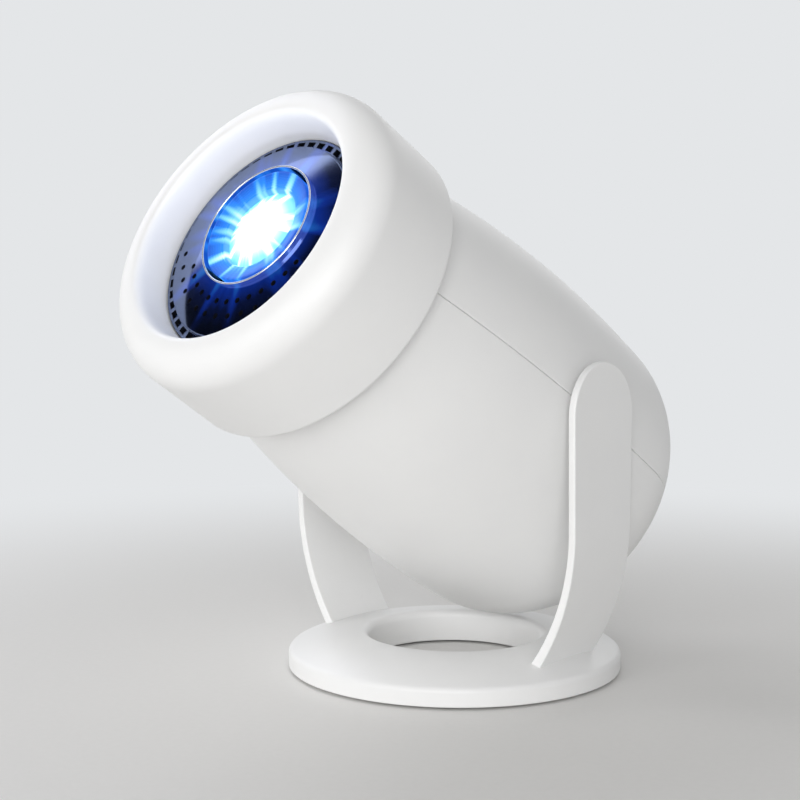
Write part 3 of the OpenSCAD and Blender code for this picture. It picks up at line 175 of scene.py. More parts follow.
def curve(pulls: list[Point], steps: int) -> list[Point]:
    """Points along a cubic curve.

    Args:
        pulls: First point, the two points that pull the curve towards them, and last point.
        steps: Number of pieces that the curve is cut into.

    Returns:
        The points from the first to the last, both included.
    """
    points: list[Point] = []
    for i in range(steps + 1):
        t = i / steps
        shares = ((1.0 - t) ** 3, 3.0 * t * (1.0 - t) ** 2, 3.0 * t * t * (1.0 - t), t ** 3)
        points.append((sum(w * p[0] for w, p in zip(shares, pulls)),
                       sum(w * p[1] for w, p in zip(shares, pulls))))
    return points


def rounded(corners: list[tuple[float, float, float]], steps: int = 6) -> list[Point]:
    """Rounds the corners of a closed outline.

    Args:
        corners: Each corner's two coordinates and its rounding radius.
        steps: Number of pieces in each rounding.

    Returns:
        The outline with an arc at every corner whose radius isn't zero.
    """
    outline: list[Point] = []
    for i, (x, y, radius) in enumerate(corners):
        here = Vector((x, y))
        before = Vector(corners[i - 1][:2]) - here
        after = Vector(corners[(i + 1) % len(corners)][:2]) - here
        if radius <= 0.0:
            outline.append((x, y))
            continue
        u, v = before.normalized(), after.normalized()
        half = u.angle(v) / 2.0
        reach = min(radius / math.tan(half), SIDE_SHARE * before.length, SIDE_SHARE * after.length)
        depth = reach / math.cos(half)
        middle = here + (u + v).normalized() * depth
        first, last = here + u * reach - middle, here + v * reach - middle
        start = math.atan2(first.y, first.x)
        turn = (math.atan2(last.y, last.x) - start + math.pi) % (2.0 * math.pi) - math.pi
        spoke = first.length
        for k in range(steps + 1):
            a = start + turn * k / steps
            outline.append((middle.x + spoke * math.cos(a), middle.y + spoke * math.sin(a)))
    return outline


def held(profile: list[Point], hold: float = 0.12, longest: float = 4.0) -> list[Point]:
    """Adds points near the ends of long straight runs, so that smooth shading stays flat along them.

    Args:
        profile: Points of a closed outline.
        hold: Distance of the added points from the ends of a run. Runs under eight times this stay as they
            are.
        longest: Longest run that stays undivided.

    Returns:
        The outline with the added points.
    """
    out: list[Point] = []
    for a, b in zip(profile, profile[1:] + profile[:1]):
        out.append(a)
        length = math.hypot(b[0] - a[0], b[1] - a[1])
        if length < 8.0 * hold:
            continue
        pieces = max(1, math.ceil(length / longest))
        shares = [hold / length] + [k / pieces for k in range(1, pieces)] + [1.0 - hold / length]
        out += [(a[0] + (b[0] - a[0]) * s, a[1] + (b[1] - a[1]) * s) for s in shares]
    return out


def edge_strip(radius: float) -> list[Point]:
    """Cross-section of a rounded edge, with one more point that keeps the face beside it flat.

    Args:
        radius: Radius of the rounding.

    Returns:
        Distance from the border and depth below the face of each point.
    """
    turns = [math.radians(90.0 * k / EDGE_STEPS) for k in range(EDGE_STEPS + 1)]
    strip = [(radius * (1.0 - math.cos(a)), radius * (1.0 - math.sin(a))) for a in turns]
    return strip + [(radius + EDGE_FLAT, 0.0)]


def lathe(bm: bmesh.types.BMesh, profile: list[Point], segments: int = 144, place: Matrix = STAND) -> None:
    """Turns a closed outline of radius and height around Z.

    Args:
        bm: Mesh that gets the turned solid.
        profile: Radius and height of each point, in millimetres.
        segments: Number of steps around the axis.
        place: Matrix from the axis frame to the mesh.
    """
    turns = [2.0 * math.pi * k / segments for k in range(segments)]
    rows = [[bm.verts.new(place @ Vector((r * math.cos(a), r * math.sin(a), z)) * MM) for a in turns]
            for r, z in profile]
    for i, row in enumerate(rows):
        below = rows[i - 1]
        for k in range(segments):
            bm.faces.new((below[k - 1], below[k], row[k], row[k - 1]))


def sweep(bm: bmesh.types.BMesh, rows: list[list[Vector]], tip: bool = False) -> None:
    """Joins closed loops of points into a solid with capped ends.

    Args:
        bm: Mesh that gets the solid.
        rows: Loops of equally many points in millimetres, whose second half runs back along the first.
        tip: Whether the last loop is folded flat and needs no cap.
    """
    made = [[bm.verts.new(p * MM) for p in row] for row in rows]
    for low, high in zip(made, made[1:]):
        for k in range(len(low)):
            bm.faces.new((low[k - 1], low[k], high[k], high[k - 1]))
    for row in made[:1] if tip else (made[0], made[-1]):
        for k in range(len(row) // 2 - 1):
            bm.faces.new((row[k], row[k + 1], row[-2 - k], row[-1 - k]))


def skin(bm: bmesh.types.BMesh, outlines: list[tuple[list[Point], float]], place: Matrix = STAND) -> None:
    """Joins outlines at different heights into a solid and closes both of its ends.

    Args:
        bm: Mesh that gets the solid.
        outlines: Outlines of equally many points, each with its height, in millimetres.
        place: Matrix from the frame of the outlines to the mesh.
    """
    rings = [[bm.verts.new(place @ Vector((x, y, z)) * MM) for x, y in outline] for outline, z in outlines]
    for low, high in zip(rings, rings[1:]):
        for k in range(len(low)):
            bm.faces.new((low[k - 1], low[k], high[k], high[k - 1]))
    for ring in (rings[0], rings[-1]):
        bm.faces.new(ring)


def rectangle(x: float, y: float, width: float, height: float, radius: float) -> list[Point]:
    """Outline of a rectangle with round corners.

    Args:
        x: Middle across.
        y: Middle upward.
        width: Full width.
        height: Full height.
        radius: Radius of the corners.

    Returns:
        The outline.
    """
    w, h = width / 2.0, height / 2.0
    return rounded([(x - w, y - h, radius), (x + w, y - h, radius),
                    (x + w, y + h, radius), (x - w, y + h, radius)])


def spaced(outline: list[Point], count: int) -> list[Point]:
    """Points at even distances along a closed outline.

    Args:
        outline: Corners of the outline.
        count: Number of points.

    Returns:
        The points, the first of them at the first corner.
    """
    loop = [Vector(p) for p in outline + outline[:1]]
    runs = [(b - a).length for a, b in zip(loop, loop[1:])]
    step, out, left = sum(runs) / count, [], 0.0
    for a, b, run in zip(loop, loop[1:], runs):
        while left < run - 1e-9 and len(out) < count:
            out.append(tuple(a.lerp(b, left / run)))
            left += step
        left -= run
    return out


def markers(name: str, marks: list[Mark]) -> bpy.types.Object:
    """Makes loose points that a node tree puts copies on.

    Args:
        name: Name of the helper.
        marks: Place and size in millimetres and turn in degrees of each copy.

    Returns:
        The helper object, with the sizes and turns as point attributes.
    """
    mesh = bpy.data.meshes.new(name)
    mesh.from_pydata([place * MM for place, _, _ in marks], [], [])
    for label, column in (("size", 1), ("turn", 2)):
        values = mesh.attributes.new(label, "FLOAT_VECTOR", "POINT").data
        for value, mark in zip(values, marks):
            value.vector = mark[column] if column == 1 else mark[column] * math.radians(1.0)
    obj = bpy.data.objects.new(name, mesh)
    bpy.context.scene.collection.objects.link(obj)
    return obj


def close_up(bm: bmesh.types.BMesh) -> None:
    """Merges doubles, drops collapsed faces and turns every face outward.

    Args:
        bm: Mesh to put right.
    """
    bmesh.ops.remove_doubles(bm, verts=bm.verts, dist=MERGE_DIST)
    bmesh.ops.dissolve_degenerate(bm, dist=FLAT_DIST, edges=bm.edges)
    bmesh.ops.recalc_face_normals(bm, faces=bm.faces)


def to_object(name: str, bm: bmesh.types.BMesh, place: Matrix = STAND,
              crease: float = 40.0) -> bpy.types.Object:
    """Makes an object of a finished mesh, with its place in the mesh.

    Args:
        name: Name of the piece.
        bm: Mesh in its own frame, which is freed.
        place: Matrix from its own frame to the row frame.
        crease: Angle in degrees above which an edge stays sharp.

    Returns:
        The new object, at the origin.
    """
    close_up(bm)
    mesh = bpy.data.meshes.new(name)
    bm.to_mesh(mesh)
    bm.free()
    obj = bpy.data.objects.new(name, mesh)
    bpy.context.scene.collection.objects.link(obj)
    settle(obj, place, crease)
    return obj


def settle(obj: bpy.types.Object, place: Matrix, crease: float) -> None:
    """Moves a mesh to its place and sets which of its edges stay sharp.

    Args:
        obj: Object at the origin.
        place: Matrix from the mesh's frame to the row frame.
        crease: Angle in degrees above which an edge stays sharp.
    """
    obj.data.transform(place)
    obj.data.shade_smooth()
    obj.data.set_sharp_from_angle(angle=math.radians(crease))


def baked(obj: bpy.types.Object) -> None:
    """Turns an object and its modifiers into a plain mesh.

    Args:
        obj: Object whose modifiers are applied and removed.
    """
    graph = bpy.context.evaluated_depsgraph_get()
    mesh = bpy.data.meshes.new_from_object(obj.evaluated_get(graph), depsgraph=graph)
    obj.modifiers.clear()
    old, obj.data = obj.data, mesh
    bpy.data.meshes.remove(old)
    mesh.name = obj.name


def cut(obj: bpy.types.Object, bm: bmesh.types.BMesh) -> None:
    """Cuts a tool shape out of an object.

    Args:
        obj: Object that is cut, with its mesh still in the tool's frame.
        bm: Closed tool mesh, which is freed.
    """
    tool = to_object(obj.name + "_tool", bm)
    modifier = obj.modifiers.new("cut", "BOOLEAN")
    modifier.operation, modifier.object, modifier.solver = "DIFFERENCE", tool, "EXACT"
    bpy.context.view_layer.update()
    baked(obj)
    bpy.data.objects.remove(tool)


def seat(obj: bpy.types.Object, material: bpy.types.Material, body: str, slot: str, *nodes: str) -> None:
    """Gives a piece its finish and its place in the frame.

    Args:
        obj: The finished piece.
        material: Its finish.
        body: Body that it moves with.
        slot: Material slot of the record. Not used.
        nodes: Nodes that it stands for.
    """
    obj.data.materials.clear()
    obj.data.materials.append(material)
    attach(obj, body)
    if nodes:
        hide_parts(*nodes)
    LOG.info("%s: %d faces, rides on %s", obj.name, len(obj.data.polygons), body)


def new_tree(name: str, sockets: dict[str, str]) -> tuple[bpy.types.NodeTree, bpy.types.Node]:
    """Starts a geometry node tree with named inputs.

    Args:
        name: Name of the tree.
        sockets: Name and socket type of each input after the geometry.

    Returns:
        The tree and its group input node.
    """
    tree = bpy.data.node_groups.new(name, "GeometryNodeTree")
    tree.interface.new_socket("Geometry", in_out="INPUT", socket_type="NodeSocketGeometry")
    for label, kind in sockets.items():
        tree.interface.new_socket(label, in_out="INPUT", socket_type="NodeSocket" + kind)
    tree.interface.new_socket("Geometry", in_out="OUTPUT", socket_type="NodeSocketGeometry")
    return tree, put(tree, "NodeGroupInput")


def copies(tree: bpy.types.NodeTree, points: bpy.types.NodeSocket,
           shape: bpy.types.NodeSocket) -> bpy.types.Node:
    """Puts a copy of a shape on every marker, turned and sized as the marker says.

    Args:
        tree: Node tree that gets the nodes.
        points: Output with the markers.
        shape: Output with the shape.

    Returns:
        The node whose output holds the copies.
    """
    said = [put(tree, "GeometryNodeInputNamedAttribute", {"Name": label}, data_type="FLOAT_VECTOR")
            for label in ("size", "turn")]
    return put(tree, "GeometryNodeInstanceOnPoints", {
        "Points": points, "Instance": shape, "Scale": said[0].outputs[0], "Rotation": said[1].outputs[0]})


def around(tree: bpy.types.NodeTree, count: bpy.types.NodeSocket, radius: bpy.types.NodeSocket,
           shape: bpy.types.NodeSocket) -> bpy.types.Node:
    """Puts copies of a shape on a circle, each turned outward.

    Args:
        tree: Node tree that gets the nodes.
        count: Output with the number of copies.
        radius: Output with the radius of the circle.
        shape: Output with the shape.

    Returns:
        The node whose output holds the copies.
    """
    circle = put(tree, "GeometryNodeMeshCircle", {"Vertices": count, "Radius": radius})
    spot = put(tree, "ShaderNodeSeparateXYZ", {0: put(tree, "GeometryNodeInputPosition").outputs[0]})
    aim = put(tree, "ShaderNodeMath", {0: spot.outputs["Y"], 1: spot.outputs["X"]}, operation="ARCTAN2")
    turn = put(tree, "ShaderNodeCombineXYZ", {"Z": aim.outputs[0]})
    return put(tree, "GeometryNodeInstanceOnPoints", {
        "Points": circle.outputs["Mesh"], "Instance": shape, "Rotation": turn.outputs[0]})


def close_tree(tree: bpy.types.NodeTree, shape: bpy.types.NodeSocket, material: bpy.types.NodeSocket) -> None:
    """Ends a geometry node tree in plain geometry of one material.

    Args:
        tree: Node tree that gets its last nodes.
        shape: Output with the finished geometry.
        material: Output with the material.
    """
    real = put(tree, "GeometryNodeRealizeInstances", {0: shape})
    dressed = put(tree, "GeometryNodeSetMaterial", {"Geometry": real.outputs[0], "Material": material})
    put(tree, "NodeGroupOutput", {0: dressed.outputs[0]})


def grown(obj: bpy.types.Object, tree: bpy.types.NodeTree, sizes: dict[str, object]) -> None:
    """Runs a node tree on an object and keeps the result as its plain mesh.

    Args:
        obj: Object whose mesh feeds the tree.
        tree: Geometry node tree with named inputs.
        sizes: Values of the named inputs.
    """
    modifier = obj.modifiers.new(tree.name, "NODES")
    modifier.node_group = tree
    for item in tree.interface.items_tree:
        if item.item_type == "SOCKET" and item.in_out == "INPUT" and item.name in sizes:
            modifier[item.identifier] = sizes[item.name]
    bpy.context.view_layer.update()
    baked(obj)


def blank(owner: bpy.types.Material | bpy.types.World) -> bpy.types.NodeTree:
    """Gives a material or a world an empty node tree.

    Args:
        owner: Material or world to set up.

    Returns:
        Its node tree.
    """
    owner.use_nodes = True
    owner.node_tree.nodes.clear()
    return owner.node_tree


# Finishes


@dataclass(frozen=True)
class Finish:
    """What every finish has: a name, and one material that is made at its first use."""

    name: str

    def material(self) -> bpy.types.Material:
        """The material of this finish."""
        found = bpy.data.materials.get(self.name)
        return found if found else self.paint(bpy.data.materials.new(self.name))

    def paint(self, material: bpy.types.Material) -> bpy.types.Material:
        """Builds the nodes of the finish, which each kind does in its own way."""
        raise NotImplementedError(self.name)

    @staticmethod
    def start(material: bpy.types.Material,
              constants: dict[str, object]) -> tuple[bpy.types.NodeTree, bpy.types.Node]:
        """Gives an empty material one Principled shader.

        Args:
            material: Material to set up.
            constants: Shader inputs that are the same all over.

        Returns:
            The node tree and the shader node.
        """
        tree = blank(material)
        shader = put(tree, "ShaderNodeBsdfPrincipled", constants)
        put(tree, "ShaderNodeOutputMaterial", {"Surface": shader.outputs["BSDF"]})
        return tree, shader


@dataclass(frozen=True)
class Grained(Finish):
    """A surface whose grain shows in bump and gloss, over a slow drift of colour.

    The grain is stretched along the axes of the piece where it was drawn or brushed.
    """

    colour: str
    shade: str
    roughness: float
    spread: float = 0.06
    metallic: float = 0.0
    ior: float = 1.5
    coat: float = 0.0
    grain_mm: float = 0.55
    stretch: tuple[float, float, float] = (1.0, 1.0, 1.0)
    depth_mm: float = 0.012
    drift_mm: float = 18.0

    def paint(self, material: bpy.types.Material) -> bpy.types.Material:
        """Fine noise for bump and gloss, coarse noise for colour.

        Args:
            material: Material that gets the nodes.

        Returns:
            The same material.
        """
        tree, shader = self.start(material, {
            "IOR": self.ior, "Metallic": self.metallic, "Coat Weight": self.coat})
        where = put(tree, "ShaderNodeTexCoord").outputs["Object"]
        drawn = put(tree, "ShaderNodeMapping", {"Vector": where, "Scale": self.stretch})
        drift = put(tree, "ShaderNodeTexNoise", {
            "Vector": where, "Scale": 1.0 / (self.drift_mm * MM), "Detail": 2.0, "Roughness": 0.5})
        grain = put(tree, "ShaderNodeTexNoise", {
            "Vector": drawn.outputs["Vector"], "Detail": 3.0, "Scale": 1.0 / (self.grain_mm * MM),
            "Roughness": 0.6})
        tint = put(tree, "ShaderNodeMix", {
            0: drift.outputs["Fac"], 6: linear(self.colour), 7: linear(self.shade)}, data_type="RGBA")
        gloss = put(tree, "ShaderNodeMapRange", {
            "Value": grain.outputs["Fac"], "From Min": 0.3, "From Max": 0.7,
            "To Min": self.roughness - self.spread, "To Max": self.roughness + self.spread})
        bump = put(tree, "ShaderNodeBump", {
            "Height": grain.outputs["Fac"], "Strength": 0.6, "Distance": self.depth_mm * MM})
        tree.links.new(tint.outputs[2], shader.inputs["Base Color"])
        tree.links.new(gloss.outputs["Result"], shader.inputs["Roughness"])
        tree.links.new(bump.outputs["Normal"], shader.inputs["Normal"])
        return material


@dataclass(frozen=True)
class ClearGlass(Finish):
    """Polished glass or acrylic: see-through, with a faint tint and wiping marks in its gloss."""

    colour: str
    ior: float
    roughness: float = 0.02
    spread: float = 0.05
    marks_mm: float = 6.0
    glow: str = "#000000"

    def paint(self, material: bpy.types.Material) -> bpy.types.Material:
        """Clear transmission with slow streaks of gloss.

        Args:
            material: Material that gets the nodes.

        Returns:
            The same material.
        """
        tree, shader = self.start(material, {
            "IOR": self.ior, "Transmission Weight": 1.0, "Emission Strength": 1.0,
            "Base Color": linear(self.colour), "Emission Color": linear(self.glow)})
        where = put(tree, "ShaderNodeTexCoord").outputs["Object"]
        marks = put(tree, "ShaderNodeTexNoise", {
            "Vector": where, "Scale": 1.0 / (self.marks_mm * MM), "Detail": 4.0})
        gloss = put(tree, "ShaderNodeMapRange", {
            "Value": marks.outputs["Fac"], "To Min": self.roughness, "To Max": self.roughness + self.spread})
        tree.links.new(gloss.outputs["Result"], shader.inputs["Roughness"])
        return material


@dataclass(frozen=True)
class PaintedGlow(Finish):
    """A glossy surface around the lens with a painted glow of the lamp: emission in a white core, painted
    flare rays and a blue fall-off.

    The painted glow follows the piece's own map, whose middle is the axis of the lens, so that it runs on
    from one piece to the next.
    """

    base: str
    strength: float
    roughness: float
    metallic: float = 0.0
    ior: float = 1.5
    reach_mm: float = 30.0
    rays: float = 0.7
    ray_count: float = 3.6
    ray_edges: Point = (0.5, 0.72)
    spread: float = 0.06
    marks_mm: float = 5.0
    coat: str = "#FFFFFF"
    stops: tuple[tuple[float, str], ...] = (
        (0.0, "#000000"), (0.16, "#04103C"), (0.36, "#0E3AB4"), (0.55, "#2C8CFF"), (0.66, "#8CE4FF"),
        (0.77, "#FFFFFF"))

    def paint(self, material: bpy.types.Material) -> bpy.types.Material:
        """Painted radial glow, drawn out along painted flare rays, through a colour ramp into emission.

        Args:
            material: Material that gets the nodes.

        Returns:
            The same material.
        """
        tree, shader = self.start(material, {
            "IOR": self.ior, "Metallic": self.metallic, "Specular Tint": linear(self.coat),
            "Base Color": linear(self.base), "Emission Strength": self.strength})
        lens_map = put(tree, "ShaderNodeUVMap", uv_map="lens_map").outputs["UV"]
        centred = put(tree, "ShaderNodeVectorMath", {0: lens_map, 1: (-0.5, -0.5, 0.0)}, operation="ADD")
        far = put(tree, "ShaderNodeVectorMath", {0: centred.outputs[0]}, operation="LENGTH")
        way = put(tree, "ShaderNodeVectorMath", {0: centred.outputs[0]}, operation="NORMALIZE")
        fan = put(tree, "ShaderNodeTexNoise", {
            "Vector": way.outputs[0], "Scale": self.ray_count, "Detail": 1.0})
        ray = put(tree, "ShaderNodeMapRange", {
            "Value": fan.outputs["Fac"], "From Min": self.ray_edges[0], "From Max": self.ray_edges[1],
            "To Min": 1.0, "To Max": 1.0 + self.rays})
        near = put(tree, "ShaderNodeMath", {
            0: far.outputs["Value"], 1: ray.outputs["Result"]}, operation="DIVIDE")
        # Painted glow: brightest at the lens axis and fading outward, reaching further along the painted
        # rays.
        light = put(tree, "ShaderNodeMapRange", {
            "Value": near.outputs["Value"], "To Min": 1.0, "To Max": 0.0,
            "From Max": 0.5 * self.reach_mm / MAP_R})
        ramp = put(tree, "ShaderNodeValToRGB", {"Fac": light.outputs["Result"]})
        ramp.color_ramp.elements.remove(ramp.color_ramp.elements[1])
        for i, (share, colour) in enumerate(self.stops):
            element = ramp.color_ramp.elements[0] if i == 0 else ramp.color_ramp.elements.new(share)
            element.position, element.color = share, linear(colour)
        where = put(tree, "ShaderNodeTexCoord").outputs["Object"]
        marks = put(tree, "ShaderNodeTexNoise", {
            "Vector": where, "Scale": 1.0 / (self.marks_mm * MM), "Detail": 4.0})
        gloss = put(tree, "ShaderNodeMapRange", {
            "Value": marks.outputs["Fac"], "To Min": self.roughness, "To Max": self.roughness + self.spread})
        tree.links.new(ramp.outputs["Color"], shader.inputs["Emission Color"])
        tree.links.new(gloss.outputs["Result"], shader.inputs["Roughness"])
        return material


# Moulded ABS from a spark eroded mould: an even white with a soft satin sheen. The mould's grit of
# about 0.05 mm is too fine to show, so it is drawn at half a millimetre.
WHITE_ABS = Grained("white_abs_satin", "#F3F3F2", "#EFEFEF", 0.42, ior=1.53)
# The same plastic coloured grey, for the closing plate, the button and inner pieces: duller, with more
# grain.
GREY_ABS = Grained("grey_abs_matt", "#6E7074", "#66686C", 0.55, ior=1.53, depth_mm=0.02)
# Black glass filled polyamide of the rear panel, holders and sockets: dark with a broken gloss.
BLACK_PA = Grained("black_polyamide", "#17181B", "#1D1E22", 0.45, 0.1, ior=1.53, depth_mm=0.02)
# The same polyamide under a lacquer with metal in it, for the lens barrel and the ring that holds the glass:
# its ridges carry a painted glow of the lamp's light, with painted flare rays.
BLACK_BARREL = PaintedGlow("black_metal_lacquer", "#20283C", 1.1, 0.28, metallic=0.6)
# Chromium plated ABS of the ring around the lens: a bright mirror with a slight orange peel.
CHROME = Grained("chromium_plate", "#E3E6EA", "#D5D9DF", 0.12, 0.05, metallic=1.0, grain_mm=1.2,
                 depth_mm=0.004)
# Zinc plated steel of screws, sockets and shafts: bright with a fine drawn grain.
ZINC_STEEL = Grained("zinc_plated_steel", "#C2C5C8", "#B2B6BB", 0.28, 0.1, metallic=1.0, grain_mm=0.4)
# Drawn brass of contacts and pins: warm and slightly dull.
BRASS = Grained("drawn_brass", "#D9B45C", "#C9A24C", 0.25, 0.08, metallic=1.0, stretch=(1.0, 0.1, 1.0))
# Extruded aluminium of the heat sink: pale, with drawn lines along the fins.
ALUMINIUM = Grained("extruded_aluminium", "#D4D6D8", "#C6C9CC", 0.32, 0.1, metallic=1.0,
                    stretch=(1.0, 1.0, 0.1))
# Glass fibre laminate of the boards under a green lacquer: glossy, with a faint weave.
LAMINATE = Grained("green_laminate", "#1F5B3A", "#184C30", 0.35, 0.08, coat=0.3, grain_mm=0.9)
# Black epoxy of chips and coils: matt with a fine grit.
EPOXY = Grained("black_epoxy", "#202124", "#2A2B2E", 0.6, grain_mm=0.4, depth_mm=0.02)
# Pressed paper pulp of the loudspeaker cone: dark, rough and fibrous.
PULP = Grained("paper_pulp", "#2C2A28", "#383532", 0.9, grain_mm=0.5, stretch=(1.0, 0.25, 1.0),
               depth_mm=0.05)
# Silicone rubber of the foot: dark grey, dull, with fine pits.
RUBBER = Grained("silicone_rubber", "#3A3B3D", "#434446", 0.78, ior=1.42, grain_mm=0.7, depth_mm=0.03)
# Phosphor under silicone on the lamp chip: an egg yolk yellow with fine grains.
PHOSPHOR = Grained("phosphor_gel", "#E6C645", "#DDB934", 0.4, grain_mm=0.35, depth_mm=0.02)
# Polished optical glass and cast acrylic of the inner lenses: clear, faintly blue or neutral.
OPTICAL_GLASS = ClearGlass("optical_glass", "#EEF4FF", 1.52)
CAST_ACRYLIC = ClearGlass("cast_acrylic", "#F4F6F8", 1.49, 0.06)
# The same acrylic as a light guide with a small blue lamp behind it.
LIGHT_GUIDE = ClearGlass("lit_acrylic", "#F4F6F8", 1.49, 0.06, glow="#2F7BE0")
# Thin glass of the picture panel: a smoky grey tint.
PANEL_GLASS = ClearGlass("panel_glass", "#9AA3B4", 1.52, 0.04)
# Coated front glass of the lens, drawn opaque: a painted glow stands for the lamp behind it, white in the
# middle, then cyan and deep blue, with painted flare rays.
PAINTED_GLOW_GLASS = PaintedGlow("coated_lens_glass", "#0A1F66", 1.5, 0.03)
# Blue-black acrylic of the face, printed on its back, under a thin mirror coat: a deep gloss, with a painted
# blue glow and painted flare rays near the lens.
FACE_ACRYLIC = PaintedGlow("blue_black_acrylic", "#070B1A", 0.5, 0.07, ior=4.2, rays=0.45, coat="#C2D3FA")
# Cut edges of the same acrylic in its openings: dull and almost black.
FACE_EDGE = Grained("blue_black_acrylic_edge", "#05070D", "#080B14", 0.5, 0.1)

SLOT_FINISH: dict[str, Finish] = {
    "white_plastic": WHITE_ABS, "grey_plastic": GREY_ABS, "black_plastic": BLACK_PA,
    "gloss_face": FACE_ACRYLIC, "bright_trim": CHROME, "clear_glass": OPTICAL_GLASS,
    "field_acrylic": CAST_ACRYLIC, "panel_glass": PANEL_GLASS, "steel": ZINC_STEEL, "pin_brass": BRASS,
    "sink_aluminium": ALUMINIUM, "lamp_phosphor": PHOSPHOR, "board_laminate": LAMINATE,
    "chip_plastic": EPOXY, "cone_paper": PULP, "foot_rubber": RUBBER,
}


# Sub-assemblies


@dataclass
class BaseRing:
    """Round base with a large hole, an upright band and a sloping top."""

    base_r: float = 55.0
    hole_r: float = 28.5
    rim_round: float = 2.5
    base_h: float = 11.6
    edge_h: float = 7.0
    edge_round: float = 2.0
    wall: float = 2.4
    lift: float = 0.8
    foot_edge: float = 0.4

    def profile(self) -> list[Point]:
        """Outline of the base: foot, band, sloping top, round rim, hole and the hollow below.

        Returns:
            Radius and height of each point.
        """
        crown_r = self.hole_r + self.rim_round
        slope_w = self.base_r - self.edge_round - crown_r
        slope_h = self.base_h - self.edge_h
        slope_r = (slope_w ** 2 + slope_h ** 2) / (2.0 * slope_h)
        slope_a = math.degrees(math.acos(slope_w / slope_r))
        top_r = slope_r + self.edge_round
        out_r, in_r, foot = self.base_r - self.wall, self.hole_r + self.wall, self.foot_edge
        band = arc((self.base_r - foot, self.lift + foot), foot, -90.0, 0.0, 5)
        edge = arc((self.base_r - self.edge_round, self.edge_h - self.edge_round), self.edge_round,
                   0.0, slope_a, 10)
        slope = arc((crown_r, self.base_h - top_r), top_r, slope_a, 90.0, 28)
        rim = arc((crown_r, self.base_h - self.rim_round), self.rim_round, 90.0, 180.0, 14)
        heel = arc((self.hole_r + foot, self.lift + foot), foot, 180.0, 270.0, 5)
        hollow = [(in_r, self.lift), (in_r, self.base_h - 2.0 * self.wall),
                  (out_r, self.edge_h - 1.5 * self.wall), (out_r, self.lift)]
        return band + edge + slope[1:] + rim[1:] + heel + hollow

    def build(self) -> None:
        """Turns the base."""
        bm = bmesh.new()
        lathe(bm, held(self.profile()), 192)
        seat(to_object("base_ring", bm), WHITE_ABS.material(), "stand", "white_plastic", "stand_base")


@dataclass
class Arm:
    """Thin arm with a round top that curves inward to the base, with the shaft that carries the head."""

    side: Side
    node: str
    width: float = 32.0
    foot_width: float = 29.5
    in_x: float = 55.8
    thick: float = 2.4
    foot_x: float = 44.6
    foot_thick: float = 4.0
    bend_h: float = 52.0
    foot_h: float = 8.0
    low: float = 3.2
    edge: float = 0.45
    shaft_r: float = 7.0
    shaft_len: float = 11.6
    shaft_edge: float = 0.5
    rows_up: int = 40
    rows_over: int = 28
    columns: int = 10

    def face_x(self, height: float, outer: bool) -> float:
        """Distance of a face from the middle of the stand.

        Args:
            height: Height above the table.
            outer: Whether it is the outer face.

        Returns:
            The distance along X, without the side's sign.
        """
        top = self.in_x + (self.thick if outer else 0.0)
        foot = self.foot_x - (0.0 if outer else self.foot_thick)
        rise = self.bend_h - self.foot_h
        bend_r = (rise ** 2 + (top - foot) ** 2) / (2.0 * (top - foot))
        below = min(max(self.bend_h - height, 0.0), rise)
        return top - bend_r + math.sqrt(bend_r ** 2 - below ** 2)

    def border(self) -> list[tuple[Point, Point]]:
        """Points up the rear edge to the top, each with the direction into the blade.

        Returns:
            Pairs of a point and a direction, from front to back and upward.
        """
        half, foot = self.width / 2.0, self.foot_width / 2.0
        steps = self.rows_up
        slope = Vector((half - foot, PIVOT_H - self.low)).normalized()
        out = [((foot + (half - foot) * k / steps, self.low + (PIVOT_H - self.low) * k / steps),
                (-slope.y, slope.x)) for k in range(steps)]
        for y, z in arc((0.0, PIVOT_H), half, 0.0, 90.0, self.rows_over):
            out.append(((y, z), (-y / half, (PIVOT_H - z) / half)))
        return out

    def row(self, border: Point, inward: Point) -> list[Vector]:
        """Loop of points around the blade at one point of its border.

        Args:
            border: Place on the border.
            inward: Direction into the blade.

        Returns:
            Points over the outer face and back over the inner face.
        """
        strip = [(border[0] + inward[0] * inset, border[1] + inward[1] * inset, deep)
                 for inset, deep in edge_strip(self.edge)]
        inner_y, inner_z, _ = strip[-1]
        across = [(inner_y * (1.0 - 2.0 * k / self.columns), inner_z, 0.0) for k in range(1, self.columns)]
        line = strip + across + [(-y, z, deep) for y, z, deep in reversed(strip)]
        sign = self.side.value
        outer = [Vector((sign * (self.face_x(z, True) - deep), y, z)) for y, z, deep in line]
        inner = [Vector((sign * (self.face_x(z, False) + deep), y, z)) for y, z, deep in line]
        return outer + inner[::-1]

    def build(self) -> None:
        """Sweeps the blade and turns the shaft."""
        bm = bmesh.new()
        sweep(bm, [self.row(point, inward) for point, inward in self.border()], tip=True)
        ends = (self.in_x - self.shaft_len, self.in_x + 0.5 * self.thick)
        shaft = rounded([(0.0, ends[0], 0.0), (self.shaft_r, ends[0], self.shaft_edge),
                         (self.shaft_r, ends[1], 0.0), (0.0, ends[1], 0.0)])
        turn = Matrix.Rotation(math.radians(90.0 * self.side.value), 4, "Y")
        lathe(bm, shaft, 64, Matrix.Translation((0.0, 0.0, PIVOT_H)) @ turn)
        blade = to_object(self.node + "_blade", bm)
        seat(blade, WHITE_ABS.material(), "stand", "white_plastic", self.node)


